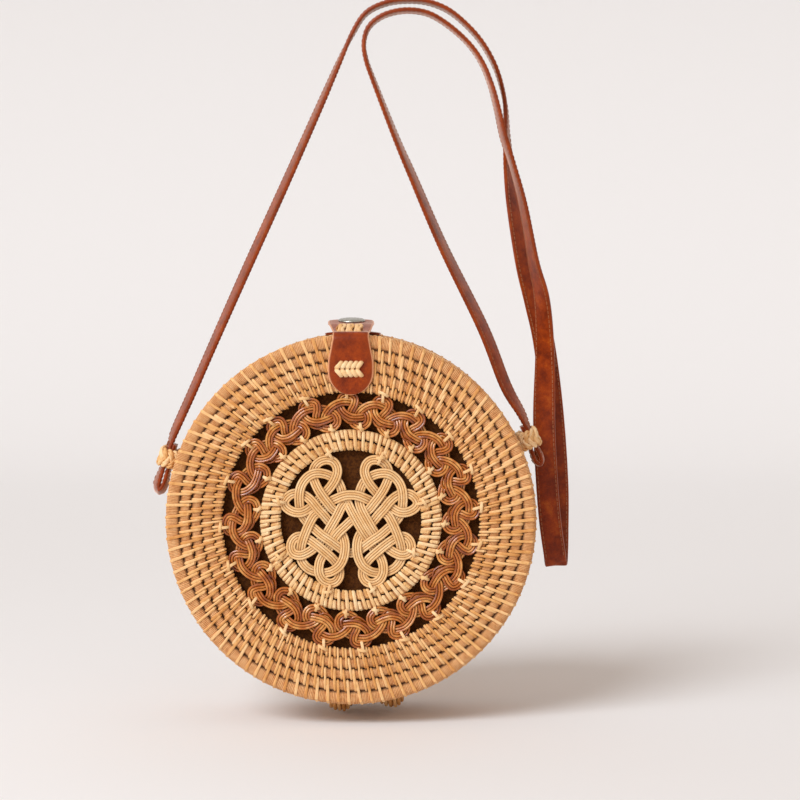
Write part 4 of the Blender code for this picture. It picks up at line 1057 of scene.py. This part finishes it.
for node, right in (("left", False), ("right", True)):
    outward, down, middle = keeperFrame(keeper[node], right)
    width, height = (keeper[side] + keeper["thick"] for side in ("openWidth", "snugHeight"))
    path = spaced(roundLoop(width, height, keeper["round"]), 0.0007, True)
    seatedAt = middle - outward * keeper["lower"]
    bm = bmesh.new()
    lines = []
    for strand in range(3):
        for twin in range(keeper["canes"]):
            aside = (twin - (keeper["canes"] - 1) / 2) * keeper["cane"] * keeper["twinGap"]
            line = []
            for i, p in enumerate(path):
                phase = math.tau * keeper["waves"] * i / len(path) + math.tau * strand / 3
                out = heading(path, i, True).cross(Vector((0.0, 0.0, 1.0))).normalized()
                q = p + out * (math.sin(2 * phase) * keeper["crossing"])
                side = math.sin(phase) * keeper["sway"] + aside
                line.append(seatedAt + outward * q.x + backward * q.y + down * side)
            lines.append(line)
    addCanes(bm, lines, keeper["cane"], closed=True, resolution=2)
    name = "strapKeeper" + node.capitalize()
    makePiece(name, bm, peeled, "bag_back", ["strap_keeper_" + node])

print("strap")
strap = {
    "width": 0.0125, "thick": 0.0022, "gap": 0.0005, "fold": 0.0225, "growth": 0.018, "slope": 0.07,
    "arch": (410.0, 2.0), "view": (400.0, 400.0), "across": 0.1 / 179.2, "downward": 0.2841 / 509.0,
    "stitch": 0.0026, "inset": 0.0013, "leftEnd": (1.26, 1.5), "rightEnd": (1.0, 0.6), "tightBend": 0.4,
    "thread": (0.0018, 0.0005, 0.0003),  # length, width and height of one stitch
    # places seen in the photo's pixels, with the share of the fold's depth and the turn at each
    "route": (
        (192.0, 391.0, 0, 0.22), (215.0, 339.0, 0, 0.22), (250.0, 261.0, 0, 0.24),
        (285.0, 184.5, 0, 0.22), (320.0, 106.6, 0, 0.17), (340.0, 61.5, 0, 0.1),
        (353.0, 34.2, 0, 0), (366.4, 14.4, 0, 0), (387.0, 4.4, 0, 0), (410.0, 1.8, 0, 0),
        (431.0, 4.6, 0, 0), (452.0, 14.4, 0, 0), (475.3, 36.0, 0.02, 0), (491.0, 59.8, 0.12, 0),
        (500.2, 84.2, 0.36, 0.02), (504.8, 108.0, 0.62, 0.06), (506.0, 134.0, 0.72, 0.14),
        (508.2, 164.0, 0.74, 0.28), (513.2, 202.0, 0.76, 0.45), (523.6, 260.0, 0.84, 0.6),
        (534.0, 300.0, 0.94, 0.74), (543.6, 340.0, 1, 0.88), (552.2, 407.0, 1, 1),
        (557.4, 478.0, 1, 1), (557.8, 530.0, 1, 1), (557.4, 551.0, 1, 1), (557.0, 558.6, 0.95, 1),
        (556.4, 561.4, 0.82, 1), (555.7, 558.6, 0.69, 1), (554.8, 551.0, 0.64, 1),
        (550.4, 520.0, 0.64, 1), (547.0, 480.0, 0.64, 1), (544.0, 420.0, 0.62, 0.96),
        (544.6, 350.0, 0.5, 0.6), (541.6, 298.0, 0.36, 0.4), (533.0, 260.0, 0.22, 0.22),
        (522.4, 204.0, 0.02, 0.13), (511.6, 164.0, -0.12, 0.08), (502.8, 136.0, -0.16, 0.1),
        (496.4, 108.0, -0.14, 0.07), (489.8, 84.2, -0.08, 0.04), (480.3, 61.8, -0.02, 0.02),
        (466.6, 43.0, 0, 0), (446.6, 25.6, 0, 0), (427.0, 14.6, 0, 0), (405.0, 11.8, 0, 0),
        (384.0, 16.6, 0, 0), (369.4, 27.6, 0, 0), (364.2, 43.0, 0, 0), (366.2, 59.5, 0, 0.03),
        (373.2, 79.4, 0, 0.06), (396.1, 137.5, 0, 0.12), (412.6, 175.5, 0, 0.18),
        (443.2, 245.8, 0, 0.23), (483.0, 326.5, 0, 0.3), (505.0, 382.5, 0, 0.3),
    ),
    # the doubled end: keeper lengths down, spacings outwards and the turn at each
    "ends": (
        (-0.6, -0.52, 0), (0.0, -0.52, 0), (0.5, -0.68, 0), (0.9, -0.84, 0.04), (1.12, -0.66, 0.08),
        (1.24, -0.06, 0.12), (1.12, 0.58, 0.12), (0.9, 0.82, 0.12), (0.5, 0.66, 0.08), (0.0, 0.5, 0.05),
        (-0.64, 0.5, 0.13), (-1.2, 0.4, 0.2),
    ),
}


def strapEnd(angle, right):
    # the doubled end: up to the keeper, down through it, round its loop and up again
    outward, down, middle = keeperFrame(angle, right)
    reach, twist = strap["rightEnd"] if right else strap["leftEnd"]
    places = []
    for below, out, turn in strap["ends"]:
        along = below * keeper["length"] * (reach if below > 0.3 else 1.0)
        place = bagCentre + middle + down * along + outward * (out * (strap["thick"] + strap["gap"]))
        places.append(Vector((*place, turn * (twist if below > -0.3 else 1.0))))
    return places


def strapRoute():
    middle = []
    for x, y, backShare, turn in strap["route"]:
        back = backShare * strap["fold"]
        growth = 1 + backShare * strap["growth"]
        across = (x - strap["view"][0]) * growth + strap["view"][0] - strap["arch"][0]
        below = (y - strap["view"][1]) * growth + strap["view"][1] - strap["arch"][1]
        middle.append(Vector((
            across * strap["across"], back, -below * strap["downward"] - back * strap["slope"], turn,
        )))
    return strapEnd(keeper["left"], False) + middle + strapEnd(keeper["right"], True)[::-1]


fine = spaced(smoothCurve(strapRoute(), steps=8), 0.0012)
line = [p.xyz for p in fine]
ups = []
wide = backward
for i, place in enumerate(fine):
    along = heading(line, i)
    flat = along.cross(backward)
    flat = rightward if flat.length < 0.5 else flat.normalized()
    angle = place.w * math.pi / 2
    turned = flat.cross(along).normalized() * math.cos(angle) + flat * math.sin(angle)
    wide = turned if turned.dot(wide) > 0 else -turned
    ups.append(along.cross(wide).normalized())
bm = bmesh.new()
leatherBand(bm, line, ups, [(strap["width"], strap["thick"])] * len(line), sides=12, square=0.4, rawnessAndHighlight=0.9)
makePiece("strapBand", bm, hide, "strap", ["strap"], place=Vector())

# thread along both edges of both faces, one short stitch after another
bm = bmesh.new()
places = spaced(fine, strap["stitch"])
spots = [p.xyz for p in places]
at = 0
for i in range(2, len(spots) - 2):
    along = heading(spots, i)
    nearby = range(max(0, at - 3), min(len(line), at + 9))
    near = min(nearby, key=lambda j: (line[j] - spots[i]).length)
    at = near
    if (spots[i + 1] - spots[i]).angle(spots[i] - spots[i - 1]) > strap["tightBend"]:
        continue
    up = ups[near]
    wide = along.cross(up).normalized()
    for edgeSide in (-1, 1):
        for faceSide in (-1, 1):
            centre = spots[i] + wide * (edgeSide * (strap["width"] / 2 - strap["inset"]))
            centre = centre + up * (faceSide * strap["thick"] / 2)
            block = bmesh.ops.create_cube(bm, size=1.0)["verts"]
            sides = [way * size for way, size in zip((along, wide, up), strap["thread"])]
            frameNow = Matrix(sides).transposed().to_4x4()
            frameNow.translation = centre
            bmesh.ops.transform(bm, matrix=frameNow, verts=block)
makePiece("strapStitches", bm, thread, "strap", place=Vector(), turnOut=False)

endThread = {"count": 4, "span": 0.008, "above": 0.001, "radius": 0.0003, "reach": 0.0012, "slant": 0.0006}
for node, right in (("left", False), ("right", True)):
    outward, down, middle = keeperFrame(keeper[node], right)
    bm = bmesh.new()
    lines = []
    above = keeper["length"] / 2 + endThread["above"]
    face = strap["gap"] / 2 + strap["thick"] + endThread["radius"]
    for k in range(endThread["count"]):
        y = (k / (endThread["count"] - 1) - 0.5) * endThread["span"]
        lines.append([
            bagCentre + middle - down * (above + share * endThread["reach"]) + outward * face
            + backward * (y + share * endThread["slant"])
            for share in (-1, 0, 1)
        ])
    addCanes(bm, lines, endThread["radius"])
    name = "strapEndStitches" + node.capitalize()
    makePiece(name, bm, thread, "strap", ["strap_end_stitches_" + node], place=Vector())

print("floor, light and camera")
stageLook = {
    "floor": -0.3957, "colour": "#F0F1F2", "front": -3.0, "back": 1.6, "bend": 0.9, "rise": 3.0, "width": 8.0,
}
bm = bmesh.new()
left = -stageLook["width"] / 2
corners = [bm.verts.new((left, stageLook[end], 0.0)) for end in ("front", "back")]
bm.edges.new(corners)
fold = bmesh.ops.spin(
    bm, geom=[corners[1]], cent=(left, stageLook["back"], stageLook["bend"]), axis=(1.0, 0.0, 0.0),
    angle=math.pi / 2, steps=16,
)
last = [g for g in fold["geom_last"] if isinstance(g, bmesh.types.BMVert)]
lift = bmesh.ops.extrude_vert_indiv(bm, verts=last)
bmesh.ops.translate(bm, verts=lift["verts"], vec=(0.0, 0.0, stageLook["rise"]))
across = bmesh.ops.extrude_edge_only(bm, edges=bm.edges[:])
far = [g for g in across["geom"] if isinstance(g, bmesh.types.BMVert)]
bmesh.ops.translate(bm, verts=far, vec=(stageLook["width"], 0.0, 0.0))
bmesh.ops.recalc_face_normals(bm, faces=bm.faces[:])
mesh = bpy.data.meshes.new("studioSweep")
bm.to_mesh(mesh)
bm.free()
mesh.transform(Matrix.Translation((0.0, 0.0, stageLook["floor"])))
mesh.shade_smooth()
sweepFloor = bpy.data.objects.new("studioSweep", mesh)
bpy.context.collection.objects.link(sweepFloor)
paper, tree, surface = newMaterial("studioPaper", Roughness=0.9, Specular_IOR_Level=0.1)
surface.inputs["Base Color"].default_value = toLinear(stageLook["colour"])
mesh.materials.append(paper)

studio = {
    "fill": ("#FFEADA", 0.5), "pale": "#E6E0DC", "daylight": "#F6FAFF", "sunTowards": (0.75, 1.0, -1.05),
    "sunSpread": math.radians(28), "sunPower": 1.58, "windowSize": 0.8, "windowPower": 6.6,
    "windowPlace": (-0.9, -0.9, 0.3),
}
world = bpy.data.worlds.new("studio")
bpy.context.scene.world = world
world.use_nodes = True
tree = world.node_tree
fill = tree.nodes["Background"]
fill.inputs["Color"].default_value = toLinear(studio["fill"][0])
fill.inputs["Strength"].default_value = studio["fill"][1]
# past the edge of the paper the eye, and the metal, see the same pale tone as the paper has
pale = addNode(tree, "ShaderNodeBackground", {"Color": toLinear(studio["pale"]), "Strength": 1.0})
ray = addNode(tree, "ShaderNodeLightPath").outputs
seen = ray["Is Camera Ray"]
for kind in ("Is Glossy Ray", "Is Transmission Ray"):
    seen = addNode(tree, "ShaderNodeMath", {0: seen, 1: ray[kind]}, operation="MAXIMUM").outputs[0]
both = addNode(tree, "ShaderNodeMixShader", {0: seen, 1: fill.outputs[0], 2: pale.outputs[0]})
tree.links.new(both.outputs[0], tree.nodes["World Output"].inputs["Surface"])


def addHolder(name, data, place, towards):
    holder = bpy.data.objects.new(name, data)
    bpy.context.collection.objects.link(holder)
    holder.location = place
    holder.rotation_euler = Vector(towards).to_track_quat("-Z", "Y").to_euler()
    return holder


def addLamp(name, kind, place, towards, **settings):
    lamp = bpy.data.lights.new(name, kind)
    lamp.color = toLinear(studio["daylight"])[:3]
    for key, value in settings.items():
        setattr(lamp, key, value)
    addHolder(name, lamp, place, towards)


addLamp(
    "keySun", "SUN", (0.0, 0.0, 0.0), studio["sunTowards"],
    angle=studio["sunSpread"], energy=studio["sunPower"],
)
windowPlace = Vector(studio["windowPlace"])
addLamp(
    "windowGlow", "AREA", windowPlace, bagCentre - windowPlace,
    shape="SQUARE", size=studio["windowSize"], energy=studio["windowPower"],
)

view = {"lens": 100.4, "sensor": 36.0, "place": (-0.0056, -1.242, -0.1653), "target": (-0.0056, 0.0, -0.221)}
camera = bpy.data.cameras.new("photoCamera")
camera.lens = view["lens"]
camera.sensor_width = view["sensor"]
holder = addHolder("photoCamera", camera, view["place"], Vector(view["target"]) - Vector(view["place"]))
bpy.context.scene.camera = holder
bpy.context.scene.view_settings.view_transform = "Standard"

shown = [thing.data for thing in bpy.data.objects if thing.type == "MESH" and not thing.hide_render]
print("triangles", sum(len(p.vertices) - 2 for mesh in shown for p in mesh.polygons))
